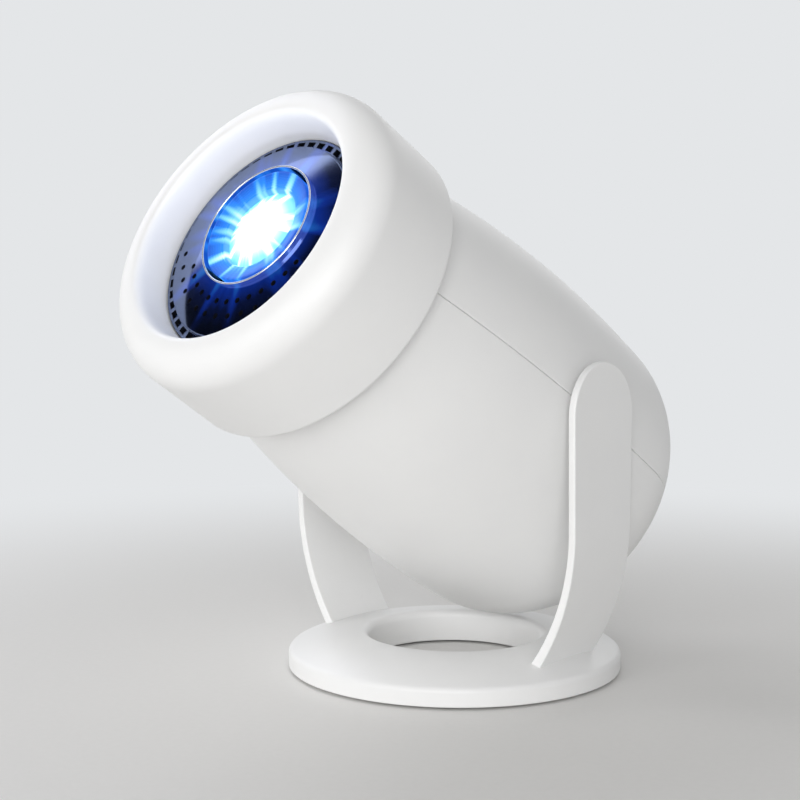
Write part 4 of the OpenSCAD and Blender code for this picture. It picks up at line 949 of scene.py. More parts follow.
@dataclass
class BodyShell:
    """One half of the barrel shaped body, with a rounded seam edge, a tilt hole and the wheel's window."""

    half: Half
    node: str
    body_r: float = 55.0
    wide_z: float = -25.0
    neck_r: float = 43.2
    neck_z: float = 75.9
    collar_r: float = 42.7
    collar_z: float = 80.0
    tail_z: float = -74.0
    tail_r: float = 34.0
    rear_r: float = 34.3
    wall: float = 2.4
    seam: float = 0.2
    edge: float = 0.35
    rear_edge: float = 0.5
    rear_turns: Point = (-100.0, -180.0)
    rear_hold: float = 0.05
    neck_hold: float = 0.1
    bush_r: float = 9.51
    window: tuple[float, float, float, float] = (-10.9, 10.9, 62.75, 73.55)
    window_round: float = 0.8
    window_deep: float = 15.0
    nose_steps: int = 56
    tail_steps: int = 32
    columns: int = 80

    def pairs(self) -> list[tuple[Point, Point]]:
        """Outer and inner points of the wall from the collar to the rear opening.

        Returns:
            Pairs of points, each a radius and a place along the light path.
        """
        drop, length = self.body_r - self.neck_r, self.neck_z - self.wide_z
        nose_r = (length ** 2 + drop ** 2) / (2.0 * drop)
        nose_c = (self.body_r - nose_r, self.wide_z)
        nose_a = math.degrees(math.asin(length / nose_r))
        tail_c = (self.body_r - self.tail_r, self.tail_z + self.tail_r)
        tail_a = math.degrees(math.acos((self.rear_r + self.rear_edge - tail_c[0]) / self.tail_r))
        deep_a = math.degrees(math.acos((self.rear_r - tail_c[0]) / (self.tail_r - self.wall)))
        heights = (self.collar_z, self.neck_z + self.neck_hold, self.neck_z)
        out = [((self.collar_r, z), (self.collar_r - self.wall, z)) for z in heights]
        out += zip(arc(nose_c, nose_r, nose_a, 0.0, self.nose_steps),
                   arc(nose_c, nose_r - self.wall, nose_a, 0.0, self.nose_steps))
        out += list(zip(arc(tail_c, self.tail_r, 0.0, -tail_a, self.tail_steps),
                        arc(tail_c, self.tail_r - self.wall, 0.0, -deep_a, self.tail_steps)))[1:]
        end, deep_end = out[-1]
        rim = arc((self.rear_r + self.rear_edge, end[1] + self.rear_edge), self.rear_edge,
                  *self.rear_turns, EDGE_STEPS)
        last = (self.rear_r, deep_end[1] - self.rear_hold)
        return out + [(p, deep_end) for p in rim] + [(last, deep_end)]

    def row(self, outer: Point, inner: Point) -> list[Vector]:
        """Loop of points around the wall of one half at one place along the light path.

        Args:
            outer: Radius and place of the outer face.
            inner: Radius and place of the inner face.

        Returns:
            Points over the outer face and back over the inner face.
        """
        first = math.asin(0.5 * self.seam / outer[0])
        near = [(first + inset / outer[0], outer[0] - deep) for inset, deep in edge_strip(self.edge)]
        start = near[-1][0]
        span = math.pi - 2.0 * start
        middle = [(start + span * k / self.columns, outer[0]) for k in range(1, self.columns)]
        line = near + middle + [(math.pi - a, r) for a, r in reversed(near)]
        back = math.asin(0.5 * self.seam / inner[0])
        count = len(line)
        deep = [(back + (math.pi - 2.0 * back) * k / (count - 1), inner[0]) for k in range(count)]
        sign = self.half.value
        over = [Vector((r * math.cos(a), sign * r * math.sin(a), outer[1])) for a, r in line]
        under = [Vector((r * math.cos(a), sign * r * math.sin(a), inner[1])) for a, r in deep]
        return over + under[::-1]

    def build(self) -> None:
        """Sweeps the half shell and cuts its holes."""
        bm = bmesh.new()
        sweep(bm, [self.row(outer, inner) for outer, inner in self.pairs()])
        shell = to_object(self.node + "_moulding", bm)
        tool = bmesh.new()
        past = self.body_r + TOOL_PAST
        lathe(tool, [(0.0, -past), (self.bush_r, -past), (self.bush_r, past), (0.0, past)], 72, ALONG_X)
        if self.half is Half.UPPER:
            left, right, back, front = self.window
            outline = rounded([(x, z, self.window_round)
                               for x, z in ((left, back), (right, back), (right, front), (left, front))])
            skin(tool, [(outline, self.collar_r - self.window_deep), (outline, past)], UPRIGHT)
        cut(shell, tool)
        settle(shell, HEAD, 40.0)
        seat(shell, WHITE_ABS.material(), "head", "white_plastic", self.node)


@dataclass
class Hood:
    """Front hood with a broad rounded lip that falls in one soft curve to the face."""

    rear_z: float = 76.2
    rear_r: float = 49.3
    rear_round: float = 1.5
    bore_r: float = 43.0
    front_r: float = 48.4
    front_z: float = 111.7
    lip_r: float = 10.0
    lip_in_r: float = 3.6
    lip_pull: Point = (3.2, 6.4)
    bowl_slope: float = 0.18
    wall: float = 2.6
    face_z: float = 100.4
    face_t: float = 1.8
    seat_w: float = 0.5
    seat_t: float = 2.0
    bowl_wall: float = 2.4

    def profile(self) -> list[Point]:
        """Outline from the rear edge over the lip to the seat of the face and back inside.

        Returns:
            Radius and place along the light path of each point.
        """
        lip_c = (self.front_r - self.lip_r, self.front_z - self.lip_r)
        face_r = lip_c[0] - self.lip_in_r
        seat_z = self.face_z - self.face_t
        edge = arc((self.rear_r - self.rear_round, self.rear_z + self.rear_round), self.rear_round,
                   -90.0, 0.0, 8)
        lip = arc(lip_c, self.lip_r, 0.0, 90.0, 30)
        across, down = self.lip_pull
        inner_lip = curve([(lip_c[0], self.front_z), (lip_c[0] - across, self.front_z),
                           (face_r + self.bowl_slope * down, self.face_z + down), (face_r, self.face_z)], 24)
        floor = [(face_r, seat_z), (face_r - self.seat_w, seat_z),
                 (face_r - self.seat_w, seat_z - self.seat_t),
                 (face_r + self.bowl_wall, seat_z - self.seat_t)]
        inside = arc(lip_c, self.lip_r - self.wall, 90.0, 0.0, 14)
        rear = [(self.rear_r - self.wall, self.rear_z + self.wall), (self.bore_r, self.rear_z + self.wall)]
        return [(self.bore_r, self.rear_z)] + edge + lip + inner_lip[1:] + floor + inside + rear

    def build(self) -> None:
        """Turns the hood."""
        bm = bmesh.new()
        lathe(bm, held(self.profile()), 216)
        hood = to_object("hood_moulding", bm, HEAD)
        seat(hood, WHITE_ABS.material(), "head", "white_plastic", "front_hood")


@dataclass
class FacePlate:
    """Glossy raised face with a lower ring of vent slots and two rows of small holes below the lens.

    A row of holes is its number of holes and the angle of its first hole in degrees.
    """

    rim_r: float = 34.65
    rim_z: float = 100.4
    rim_round: float = 0.25
    step_round: float = 0.2
    dome_r: float = 31.4
    cap: float = 1.5
    cap_round: float = 0.5
    dome: float = 1.8
    thick: float = 1.8
    lens_hole_r: float = 19.65
    vent_count: int = 48
    vent_mid_r: float = 32.8
    vent_w: float = 1.8
    vent_len: float = 2.9
    hole_r: float = 0.85
    inner_row_r: float = 24.2
    outer_row_r: float = 28.6
    inner_row: tuple[int, float] = (13, -150.0)
    outer_row: tuple[int, float] = (16, -165.0)
    row_step: float = 10.0
    step_up: float = 0.1
    step_in: float = 1.0

    def crown_z(self) -> tuple[float, float]:
        """Radius of the dome's sphere and the place of its middle along the light path."""
        sphere = (self.dome_r ** 2 + self.dome ** 2) / (2.0 * self.dome)
        return sphere, self.rim_z + self.cap + self.dome - sphere

    def plate(self) -> bpy.types.Object:
        """Turns the plain plate that the holes are cut from.

        Returns:
            The plate without its openings.
        """
        sphere, middle = self.crown_z()
        edge = math.degrees(math.acos(self.dome_r / sphere))
        top = arc((0.0, middle), sphere, edge, 90.0, 24)
        inner_r, back_z = self.dome_r - self.thick, self.rim_z - self.thick
        low = [(r * inner_r / self.dome_r, z - self.thick) for r, z in reversed(top)]
        rim = rounded([(self.rim_r, back_z, 0.0), (self.rim_r, self.rim_z, self.rim_round),
                       (self.dome_r, self.rim_z, self.step_round),
                       (self.dome_r, self.rim_z + self.cap, self.cap_round), (*top[1], 0.0)], 8)[:-1]
        bm = bmesh.new()
        lathe(bm, rim + top[1:] + low + [(inner_r, back_z)], 192)
        return to_object("face_panel", bm)

    @staticmethod
    def tree() -> bpy.types.NodeTree:
        """Node tree that cuts the lens hole, the ring of slots and the two rows of holes.

        Returns:
            The tree.
        """
        tree, given = new_tree("face_openings", {
            "Vent count": "Int", "Vent radius": "Float", "Vent size": "Vector", "Hole radius": "Float",
            "Inner radius": "Float", "Inner count": "Int", "Inner start": "Float", "Outer radius": "Float",
            "Outer count": "Int", "Outer start": "Float", "Row step": "Float", "Lens height": "Float",
            "Lens hole": "Float", "Tool depth": "Float", "Material": "Material"})
        value = given.outputs
        block = put(tree, "GeometryNodeMeshCube", {"Size": value["Vent size"]})
        tools = [around(tree, value["Vent count"], value["Vent radius"], block.outputs["Mesh"])]
        drill = put(tree, "GeometryNodeMeshCylinder", {
            "Vertices": 20, "Radius": value["Hole radius"], "Depth": value["Tool depth"]})
        index = put(tree, "GeometryNodeInputIndex").outputs[0]
        for row in ("Inner", "Outer"):
            radius = value[row + " radius"]
            angle = put(tree, "ShaderNodeMath", {0: index, 1: value["Row step"], 2: value[row + " start"]},
                        operation="MULTIPLY_ADD").outputs[0]
            east, north = (put(tree, "ShaderNodeMath", {0: angle}, operation=kind).outputs[0]
                           for kind in ("COSINE", "SINE"))
            x = put(tree, "ShaderNodeMath", {0: east, 1: radius}, operation="MULTIPLY")
            y = put(tree, "ShaderNodeMath", {0: north, 1: radius, 2: value["Lens height"]},
                    operation="MULTIPLY_ADD")
            spot = put(tree, "ShaderNodeCombineXYZ", {"X": x.outputs[0], "Y": y.outputs[0]})
            dots = put(tree, "GeometryNodePoints", {
                "Count": value[row + " count"], "Position": spot.outputs[0]})
            tools.append(put(tree, "GeometryNodeInstanceOnPoints", {
                "Points": dots.outputs[0], "Instance": drill.outputs["Mesh"]}))
        eye = put(tree, "GeometryNodeMeshCylinder", {
            "Vertices": 128, "Radius": value["Lens hole"], "Depth": value["Tool depth"]})
        lift = put(tree, "ShaderNodeCombineXYZ", {"Y": value["Lens height"]})
        tools.append(put(tree, "GeometryNodeTransform", {
            "Geometry": eye.outputs["Mesh"], "Translation": lift.outputs[0]}))
        joined = put(tree, "GeometryNodeJoinGeometry")
        for made in tools:
            tree.links.new(made.outputs[0], joined.inputs[0])
        solid = put(tree, "GeometryNodeRealizeInstances", {0: joined.outputs[0]})
        cutter = put(tree, "GeometryNodeMeshBoolean", {
            "Mesh 1": value["Geometry"], "Mesh 2": solid.outputs[0]}, operation="DIFFERENCE", solver="EXACT")
        close_tree(tree, cutter.outputs["Mesh"], value["Material"])
        return tree

    def true_normals(self, mesh: bpy.types.Mesh) -> None:
        """Gives the dome its exact normals, so that the cuts leave no marks in its gloss.

        Args:
            mesh: Mesh of the cut face, in the row frame.
        """
        sphere, middle = self.crown_z()
        back, turn = HEAD.inverted(), HEAD.to_3x3()
        centre = Vector((0.0, 0.0, middle * MM))
        normals: list[Vector] = [Vector()] * len(mesh.loops)
        for face in mesh.polygons:
            for loop in face.loop_indices:
                spoke = back @ mesh.vertices[mesh.loops[loop].vertex_index].co - centre
                exact = (turn @ spoke).normalized()
                near = abs(spoke.length - sphere * MM) < DOME_NEAR
                on_dome = near and face.normal.dot(exact) > DOME_FACING
                normals[loop] = exact if on_dome else mesh.corner_normals[loop].vector.copy()
        mesh.normals_split_custom_set(normals)

    def build(self) -> None:
        """Cuts the face and gives it its gloss and its painted glow."""
        face = self.plate()
        grown(face, self.tree(), {
            "Vent count": self.vent_count, "Vent radius": self.vent_mid_r * MM,
            "Vent size": (self.vent_w * MM, self.vent_len * MM, TOOL_DEEP * MM),
            "Hole radius": self.hole_r * MM,
            "Inner radius": self.inner_row_r * MM, "Inner count": self.inner_row[0],
            "Inner start": math.radians(self.inner_row[1]), "Outer radius": self.outer_row_r * MM,
            "Outer count": self.outer_row[0], "Outer start": math.radians(self.outer_row[1]),
            "Row step": math.radians(self.row_step), "Lens height": LENS_UP * MM,
            "Lens hole": self.lens_hole_r * MM, "Tool depth": TOOL_DEEP * MM,
            "Material": FACE_ACRYLIC.material()})
        settle(face, HEAD, 30.0)
        self.true_normals(face.data)
        # The lens map places the face's painted glow and painted flare rays.
        map_to_lens(face)
        seat(face, FACE_ACRYLIC.material(), "head", "gloss_face", "face_plate")
        face.data.materials.append(FACE_EDGE.material())
        back = HEAD.inverted()
        for wall in face.data.polygons:
            middle, ahead = back @ wall.center, (back.to_3x3() @ wall.normal).z
            raised = middle.z > (self.rim_z + self.step_up) * MM
            step = raised and middle.xy.length > (self.dome_r - self.step_in) * MM
            wall.material_index = 0 if ahead > FACING or (step and ahead > AWAY) else 1


def map_to_lens(obj: bpy.types.Object) -> None:
    """Adds a map whose middle is the axis of the lens and whose edge is MAP_R away from it.

    Args:
        obj: Piece with its mesh in the row frame.
    """
    layer = obj.data.uv_layers.new(name="lens_map")
    back = LENS.inverted()
    for loop in obj.data.loops:
        point = back @ obj.data.vertices[loop.vertex_index].co
        layer.data[loop.index].uv = (0.5 + 0.5 * point.x / (MAP_R * MM), 0.5 + 0.5 * point.y / (MAP_R * MM))


@dataclass
class LensUnit:
    """Bright ring on the face, ridged barrel and domed front glass."""

    ring_r: float = 19.6
    ring_w: float = 0.65
    ring_z: float = 104.6
    ring_low: float = 98.6
    ring_round: float = 0.38
    barrel_r: float = 17.15
    barrel_low: float = 52.0
    head_r: float = 17.9
    head_z: float = 95.0
    front_z: float = 104.0
    bore_r: float = 13.6
    step_r: float = 12.25
    step_z: float = 62.0
    barrel_edge: float = 0.2
    front_edge: float = 0.15
    front_land: float = 0.6
    ridges: int = 5
    ridge_low: float = 0.2
    ridge_fall: float = 0.6
    ridge_last: float = 0.3
    ridge_edges: Point = (0.05, 0.04)
    retainer_t: float = 1.6
    retainer_gap: float = 0.1
    retainer_cut: float = 0.5
    retainer_edges: Point = (0.15, 0.1)
    glass_r: float = 13.55
    glass_low: float = 97.0
    glass_t: float = 4.0
    glass_dome: float = 3.0

    def ring(self) -> None:
        """Turns the bright ring, whose side is painted like the face and carries the face's painted glow."""
        inner = self.ring_r - self.ring_w
        bm = bmesh.new()
        lathe(bm, held(rounded([(inner, self.ring_low, 0.0), (self.ring_r, self.ring_low, 0.0),
                                (self.ring_r, self.ring_z, self.ring_round),
                                (inner, self.ring_z, self.ring_round)], 8), 0.05), 160)
        ring = to_object("lens_ring", bm, LENS)
        map_to_lens(ring)
        seat(ring, CHROME.material(), "head", "bright_trim", "lens_trim_ring")
        # The ring's side takes the face's finish, with its painted glow.
        ring.data.materials.append(FACE_ACRYLIC.material())
        back = LENS.inverted()
        for wall in ring.data.polygons:
            way, spoke = (back.to_3x3() @ wall.normal).xy, (back @ wall.center).xy
            wall.material_index = 1 if way.length > FACING and way.dot(spoke) > 0.0 else 0

    def barrel(self) -> None:
        """Turns the barrel with its stepped ridges around the glass."""
        land_r = self.head_r - self.front_land
        width = (land_r - self.bore_r) / self.ridges
        rise = (self.front_z - self.glass_low - self.glass_t - self.retainer_t - self.ridge_low) / self.ridges
        corners = [(self.step_r, self.barrel_low, 0.0), (self.barrel_r, self.barrel_low, self.barrel_edge),
                   (self.barrel_r, self.head_z, 0.0), (self.head_r, self.head_z, 0.0),
                   (self.head_r, self.front_z, self.front_edge)]
        for i in range(self.ridges):
            r = land_r - width * i
            corners += [(r, self.front_z - rise * i, self.ridge_edges[0]),
                        (r, self.front_z - rise * (i + self.ridge_fall), self.ridge_edges[1])]
        corners += [(self.bore_r, self.front_z - rise * (self.ridges - self.ridge_last), 0.0),
                    (self.bore_r, self.step_z, 0.0), (self.step_r, self.step_z, 0.0)]
        bm = bmesh.new()
        lathe(bm, held(rounded(corners, 4), 0.03), 160)
        tube = to_object("lens_tube", bm, LENS)
        map_to_lens(tube)
        # The barrel carries a painted glow of the lamp, with painted flare rays.
        seat(tube, BLACK_BARREL.material(), "lens", "black_plastic", "lens_barrel")

    def glass(self) -> None:
        """Turns the domed front glass."""
        sphere = (self.step_r ** 2 + self.glass_dome ** 2) / (2.0 * self.glass_dome)
        top = self.glass_low + self.glass_t
        edge = math.degrees(math.acos(self.step_r / sphere))
        dome = arc((0.0, top + self.glass_dome - sphere), sphere, edge, 90.0, 24)
        bm = bmesh.new()
        lathe(bm, [(0.0, self.glass_low), (self.glass_r, self.glass_low), (self.glass_r, top)] + dome, 128)
        glass = to_object("lens_glass", bm, LENS)
        map_to_lens(glass)
        # The glass is opaque, with a painted glow of the lamp and painted flare rays.
        seat(glass, PAINTED_GLOW_GLASS.material(), "lens", "clear_glass", "front_lens")

    def retainer(self) -> None:
        """Turns the ring that holds the glass."""
        low = self.glass_low + self.glass_t
        top, inner = low + self.retainer_t, self.step_r + self.retainer_gap
        upper, lower = self.retainer_edges
        bm = bmesh.new()
        lathe(bm, held(rounded([(inner, low, 0.0), (self.glass_r, low, 0.0), (self.glass_r, top, upper),
                                (inner + self.retainer_cut, top, upper),
                                (inner, low + self.retainer_cut, lower)]), 0.05), 128)
        ring = to_object("glass_retainer", bm, LENS)
        map_to_lens(ring)
        # The retainer carries a painted glow of the lamp, with painted flare rays.
        seat(ring, BLACK_BARREL.material(), "lens", "black_plastic", "lens_retainer")

    def build(self) -> None:
        """Makes the four pieces."""
        self.ring()
        self.barrel()
        self.glass()
        self.retainer()


@dataclass
class ScrewSet:
    """Screws with a domed head and a hexagonal socket, all of one set in one mesh."""

    name: str
    node: str
    body: str
    place: Matrix
    marks: list[Mark]
    head_r: float = 2.5
    head_h: float = 1.6
    head_round: float = 1.0
    head_edge: float = 0.15
    shank_r: float = 1.4
    socket_r: float = 1.1

    def head(self) -> bpy.types.Object:
        """Turns the head and sinks its socket.

        Returns:
            The head, standing on its seat.
        """
        turn = self.head_round
        dome = arc((self.head_r - turn, self.head_h - turn), turn, 0.0, 90.0, 8)
        side = [(0.0, 0.0), (self.head_r - self.head_edge, 0.0), (self.head_r, self.head_edge)]
        bm = bmesh.new()
        lathe(bm, held(side + dome + [(0.0, self.head_h)], 0.05), 48)
        head = to_object(self.name + "_head", bm)
        low, high = 0.5 * self.head_h, 2.0 * self.head_h
        tool = bmesh.new()
        lathe(tool, [(0.0, low), (self.socket_r, low), (self.socket_r, high), (0.0, high)], 6)
        cut(head, tool)
        settle(head, STAND, 35.0)
        return head

    @staticmethod
    def tree() -> bpy.types.NodeTree:
        """Node tree that puts a head and a shank on every marker.

        Returns:
            The tree.
        """
        tree, given = new_tree("screw_set", {
            "Head": "Object", "Shank radius": "Float", "Material": "Material"})
        value = given.outputs
        info = put(tree, "GeometryNodeObjectInfo", {"Object": value["Head"]})
        turn = put(tree, "GeometryNodeInputNamedAttribute", {"Name": "turn"}, data_type="FLOAT_VECTOR")
        heads = put(tree, "GeometryNodeInstanceOnPoints", {
            "Points": value["Geometry"], "Instance": info.outputs["Geometry"], "Rotation": turn.outputs[0]})
        rod = put(tree, "GeometryNodeMeshCylinder", {
            "Vertices": 24, "Radius": value["Shank radius"], "Depth": MM})
        low = put(tree, "GeometryNodeTransform", {
            "Geometry": rod.outputs["Mesh"], "Translation": (0.0, 0.0, -0.5 * MM)})
        shanks = copies(tree, value["Geometry"], low.outputs[0])
        joined = put(tree, "GeometryNodeJoinGeometry")
        for made in (heads, shanks):
            tree.links.new(made.outputs[0], joined.inputs[0])
        close_tree(tree, joined.outputs[0], value["Material"])
        return tree

    def build(self) -> None:
        """Makes the set."""
        head = self.head()
        screws = markers(self.name, self.marks)
        grown(screws, self.tree(), {
            "Head": head, "Shank radius": self.shank_r * MM, "Material": ZINC_STEEL.material()})
        bpy.data.objects.remove(head)
        settle(screws, self.place, 35.0)
        seat(screws, ZINC_STEEL.material(), self.body, "steel", self.node)


@dataclass
class RearPanel:
    """Black rear panel with vent slots in front of the fan, and openings for the sockets and the button."""

    radius: float = 34.1
    out_z: float = -71.09
    thick: float = 2.0
    edge: float = 0.35
    back_edge: float = 0.2
    fan_up: float = 12.0
    fan_pitch: float = 14.5
    post_r: float = 2.4
    post_bore_r: float = 1.45
    post_h: float = 3.0
    post_edge: float = 0.2
    vent_reach: float = 15.6
    vent_h: float = 2.0
    vent_pitch: float = 4.0
    vents: int = 3
    relief_w: float = 0.35
    relief_t: float = 0.3
    boxes: tuple[tuple[float, float, float, float], ...] = (
        (-15.0, -11.7, 15.4, 6.0), (4.0, -11.0, 14.8, 7.4), (0.0, -23.0, 19.0, 10.2))
    holes: tuple[tuple[float, float, float], ...] = (
        (20.0, -11.4, 3.2), (17.0, -21.0, 3.4), (-17.0, -21.0, 1.5))
    screws: tuple[Point, ...] = ((28.7, 10.4), (-28.7, 10.4), (27.5, -13.0), (-27.5, -13.0))
    screw_hole_r: float = 1.46
    screw_len: float = 6.0
    fan_screw_len: float = 13.0
    fan_screw_up: float = 15.0

    def marks(self) -> tuple[list[Mark], list[Mark]]:
        """Places and sizes of the square and of the round tools.

        Returns:
            Markers of the square tools and of the round ones.
        """
        none, deep, middle = Vector(), 3.0 * self.thick, self.out_z + 0.5 * self.thick
        squares = [(Vector((x, y, middle)), Vector((w, h, deep)), none) for x, y, w, h in self.boxes]
        rounds = [(Vector((x, y, middle)), Vector((r, r, deep)), none) for x, y, r in self.holes]
        rounds += [(Vector((x, y, middle)), Vector((self.screw_hole_r, self.screw_hole_r, deep)), none)
                   for x, y in self.screws]
        for i in range(-self.vents, self.vents + 1):
            y = self.fan_up + i * self.vent_pitch
            half = math.sqrt(self.vent_reach ** 2 - (i * self.vent_pitch) ** 2) - 0.5 * self.vent_h
            half -= self.vent_h if abs(i) == self.vents else 0.0
            for grow, z, depth in ((0.0, middle, deep), (self.relief_w, self.out_z, 2.0 * self.relief_t)):
                tall = self.vent_h + 2.0 * grow
                squares.append((Vector((0.0, y, z)), Vector((2.0 * half, tall, depth)), none))
                rounds += [(Vector((x, y, z)), Vector((0.5 * tall, 0.5 * tall, depth)), none)
                           for x in (-half, half)]
        return squares, rounds

    @staticmethod
    def tree() -> bpy.types.NodeTree:
        """Node tree that cuts the square and the round openings.

        Returns:
            The tree.
        """
        tree, given = new_tree("panel_openings", {
            "Squares": "Object", "Rounds": "Object", "Material": "Material"})
        value = given.outputs
        cube = put(tree, "GeometryNodeMeshCube", {"Size": (MM, MM, MM)})
        drill = put(tree, "GeometryNodeMeshCylinder", {"Vertices": 40, "Radius": MM, "Depth": MM})
        joined = put(tree, "GeometryNodeJoinGeometry")
        for label, shape in (("Squares", cube), ("Rounds", drill)):
            info = put(tree, "GeometryNodeObjectInfo", {"Object": value[label]})
            tools = copies(tree, info.outputs["Geometry"], shape.outputs["Mesh"])
            tree.links.new(tools.outputs[0], joined.inputs[0])
        solid = put(tree, "GeometryNodeRealizeInstances", {0: joined.outputs[0]})
        cutter = put(tree, "GeometryNodeMeshBoolean", {
            "Mesh 1": value["Geometry"], "Mesh 2": solid.outputs[0], "Self Intersection": True},
            operation="DIFFERENCE", solver="EXACT")
        close_tree(tree, cutter.outputs["Mesh"], value["Material"])
        return tree

    def fan_places(self) -> list[Point]:
        """Places of the fan's four posts."""
        return [(x, self.fan_up + y) for x in (-self.fan_pitch, self.fan_pitch)
                for y in (-self.fan_pitch, self.fan_pitch)]

    def build(self) -> None:
        """Turns the panel, cuts its openings and adds the posts and the screws."""
        top = self.out_z + self.thick
        bm = bmesh.new()
        outline = rounded([(0.0, top, 0.0), (self.radius, top, self.back_edge),
                           (self.radius, self.out_z, self.edge), (0.0, self.out_z, 0.0)])
        lathe(bm, held(outline, 0.06, 8.0), 128)
        panel = to_object("rear_panel_moulding", bm)
        squares, rounds = (markers(name, marks) for name, marks in zip(("squares", "rounds"), self.marks()))
        grown(panel, self.tree(), {"Squares": squares, "Rounds": rounds, "Material": BLACK_PA.material()})
        for helper in (squares, rounds):
            bpy.data.objects.remove(helper)
        bm = bmesh.new()
        bm.from_mesh(panel.data)
        end = top + self.post_h
        post = rounded([(self.post_bore_r, top, 0.0), (self.post_r, top, 0.0),
                        (self.post_r, end, self.post_edge), (self.post_bore_r, end, self.post_edge)])
        for x, y in self.fan_places():
            lathe(bm, post, 32, Matrix.Translation((x, y, 0.0)))
        close_up(bm)
        bm.to_mesh(panel.data)
        bm.free()
        settle(panel, HEAD, 30.0)
        seat(panel, BLACK_PA.material(), "head", "black_plastic", "rear_panel")
        outward, inward = Vector((180.0, 0.0, 0.0)), Vector()
        marks = [(Vector((x, y, self.out_z)), Vector((1.0, 1.0, self.screw_len)), outward)
                 for x, y in self.screws]
        fan_z, fan_size = self.out_z + self.fan_screw_up, Vector((1.0, 1.0, self.fan_screw_len))
        marks += [(Vector((x, y, fan_z)), fan_size, inward) for x, y in self.fan_places()]
        ScrewSet("rear_screw_heads", "rear_screws_set", "head", HEAD, marks).build()


@dataclass
class Sockets:
    """Metal socket shells with their contact tongues, the power inlet, the button and the status light.

    A socket is its middle across, its width, height and length, and the inlet the same with its middle
    upward. The button and the light are their place across and upward and their radius. A flange is how far
    it stands out, and where it starts and ends behind the panel's face. A stem is its radius and its end.
    """

    out_z: float = -71.09
    board_y: float = -14.5
    wall: float = 0.5
    picture: tuple[float, float, float, float] = (-15.0, 15.0, 5.6, 11.5)
    data: tuple[float, float, float, float] = (4.0, 14.4, 7.0, 13.0)
    shell_rounds: Point = (1.0, 0.6)
    shell_edge: float = 0.12
    shell_back: float = 2.0
    tongue_in: float = 1.5
    tongue_t: float = 1.6
    tongue_gap: float = 0.4
    tongue_end: float = 1.0
    tongue_nose: Point = (0.25, 0.3)
    contact_counts: tuple[int, int] = (10, 4)
    contact_in: float = 0.8
    contact_mid: float = 3.2
    contact_share: float = 0.45
    contact_t: float = 0.12
    contact_len: float = 5.0
    contact_drop: float = 0.05
    inlet: tuple[float, float, float, float] = (-23.0, 18.6, 9.8, 13.0)
    inlet_round: float = 0.8
    inlet_edge: float = 0.25
    inlet_pitch: float = 8.6
    inlet_lobe: float = 4.0
    inlet_waist: float = 3.2
    inlet_depth: float = 11.0
    inlet_points: int = 120
    mouth_edge: float = 0.3
    mouth_flare: Point = (1.03, 1.05)
    button: tuple[float, float, float] = (17.0, -21.0, 3.2)
    button_proud: float = 0.75
    button_edge: Point = (0.35, 0.65)
    button_flange: tuple[float, float, float] = (0.8, 2.1, 3.1)
    button_stem: Point = (1.6, 4.9)
    dish_r: float = 24.0
    dish_in: float = 0.5
    light: tuple[float, float, float] = (-17.0, -21.0, 1.4)
    light_tip: Point = (3.5, 3.2)
    light_flange: tuple[float, float, float] = (0.9, 2.1, 3.0)
    light_end: float = 8.0

    def shell(self, name: str, node: str, size: tuple[float, float, float, float]) -> None:
        """Makes one metal shell.

        Args:
            name: Name of the piece.
            node: Node that it stands for.
            size: Middle across, width, height and length.
        """
        x, width, height, length = size
        y, z, edge = self.board_y + 0.5 * height, self.out_z, self.shell_edge
        outer_round, inner_round = self.shell_rounds
        outer = [rectangle(x, y, width - 2.0 * inset, height - 2.0 * inset, outer_round)
                 for inset in (0.0, edge)]
        inner = [rectangle(x, y, width - 2.0 * inset, height - 2.0 * inset, inner_round)
                 for inset in (self.wall, self.wall - edge)]
        bm = bmesh.new()
        skin(bm, [(inner[0], z + length - self.shell_back), (inner[0], z + edge), (inner[1], z),
                  (outer[1], z), (outer[0], z + edge), (outer[0], z + length)])
        seat(to_object(name, bm, HEAD, 30.0), ZINC_STEEL.material(), "head", "steel", node)

    def tongues(self) -> None:
        """Makes the tongues that carry the contacts, and the contacts in rows on them."""
        bm, marks = bmesh.new(), []
        taper, nose = self.tongue_nose
        for (x, width, height, length), count in zip((self.picture, self.data), self.contact_counts):
            top = self.board_y + height - self.wall - self.tongue_gap
            low, half = top - self.tongue_t, 0.5 * width - self.tongue_in
            front, back = self.out_z + self.tongue_in, self.out_z + length - self.tongue_end
            mid = 0.5 * (low + top)
            ends = [rectangle(x, mid, 2.0 * half - 2.0 * inset, self.tongue_t - 2.0 * inset, nose)
                    for inset in (taper, 0.0)]
            skin(bm, [(ends[0], front), (ends[1], front + nose), (ends[1], back)])
            pitch = 2.0 * (half - self.contact_in) / (count - 1)
            size = Vector((self.contact_share * pitch, self.contact_t, self.contact_len))
            first, y, z = x - half + self.contact_in, low - self.contact_drop, front + self.contact_mid
            marks += [(Vector((first + pitch * k, y, z)), size, Vector()) for k in range(count)]
        seat(to_object("socket_tongues", bm, HEAD, 30.0), BLACK_PA.material(), "head", "black_plastic")
        tree, given = new_tree("contact_rows", {"Material": "Material"})
        cube = put(tree, "GeometryNodeMeshCube", {"Size": (MM, MM, MM)})
        strips = copies(tree, given.outputs["Geometry"], cube.outputs["Mesh"])
        close_tree(tree, strips.outputs[0], given.outputs["Material"])
        contacts = markers("socket_contacts", marks)
        grown(contacts, tree, {"Material": BRASS.material()})
        settle(contacts, HEAD, 30.0)
        seat(contacts, BRASS.material(), "head", "pin_brass")

    def inlet_mouth(self) -> list[Point]:
        """Outline of the inlet's opening: two lobes joined by a waist with one flat side.

        Returns:
            The outline about the inlet's middle.
        """
        half, r, low = 0.5 * self.inlet_pitch, self.inlet_lobe, self.inlet_waist
        reach = math.degrees(math.acos(low / r))
        right = arc((half, 0.0), r, -90.0 - reach, 90.0, 30)
        return right + arc((-half, 0.0), r, 90.0, 270.0 + reach, 30)

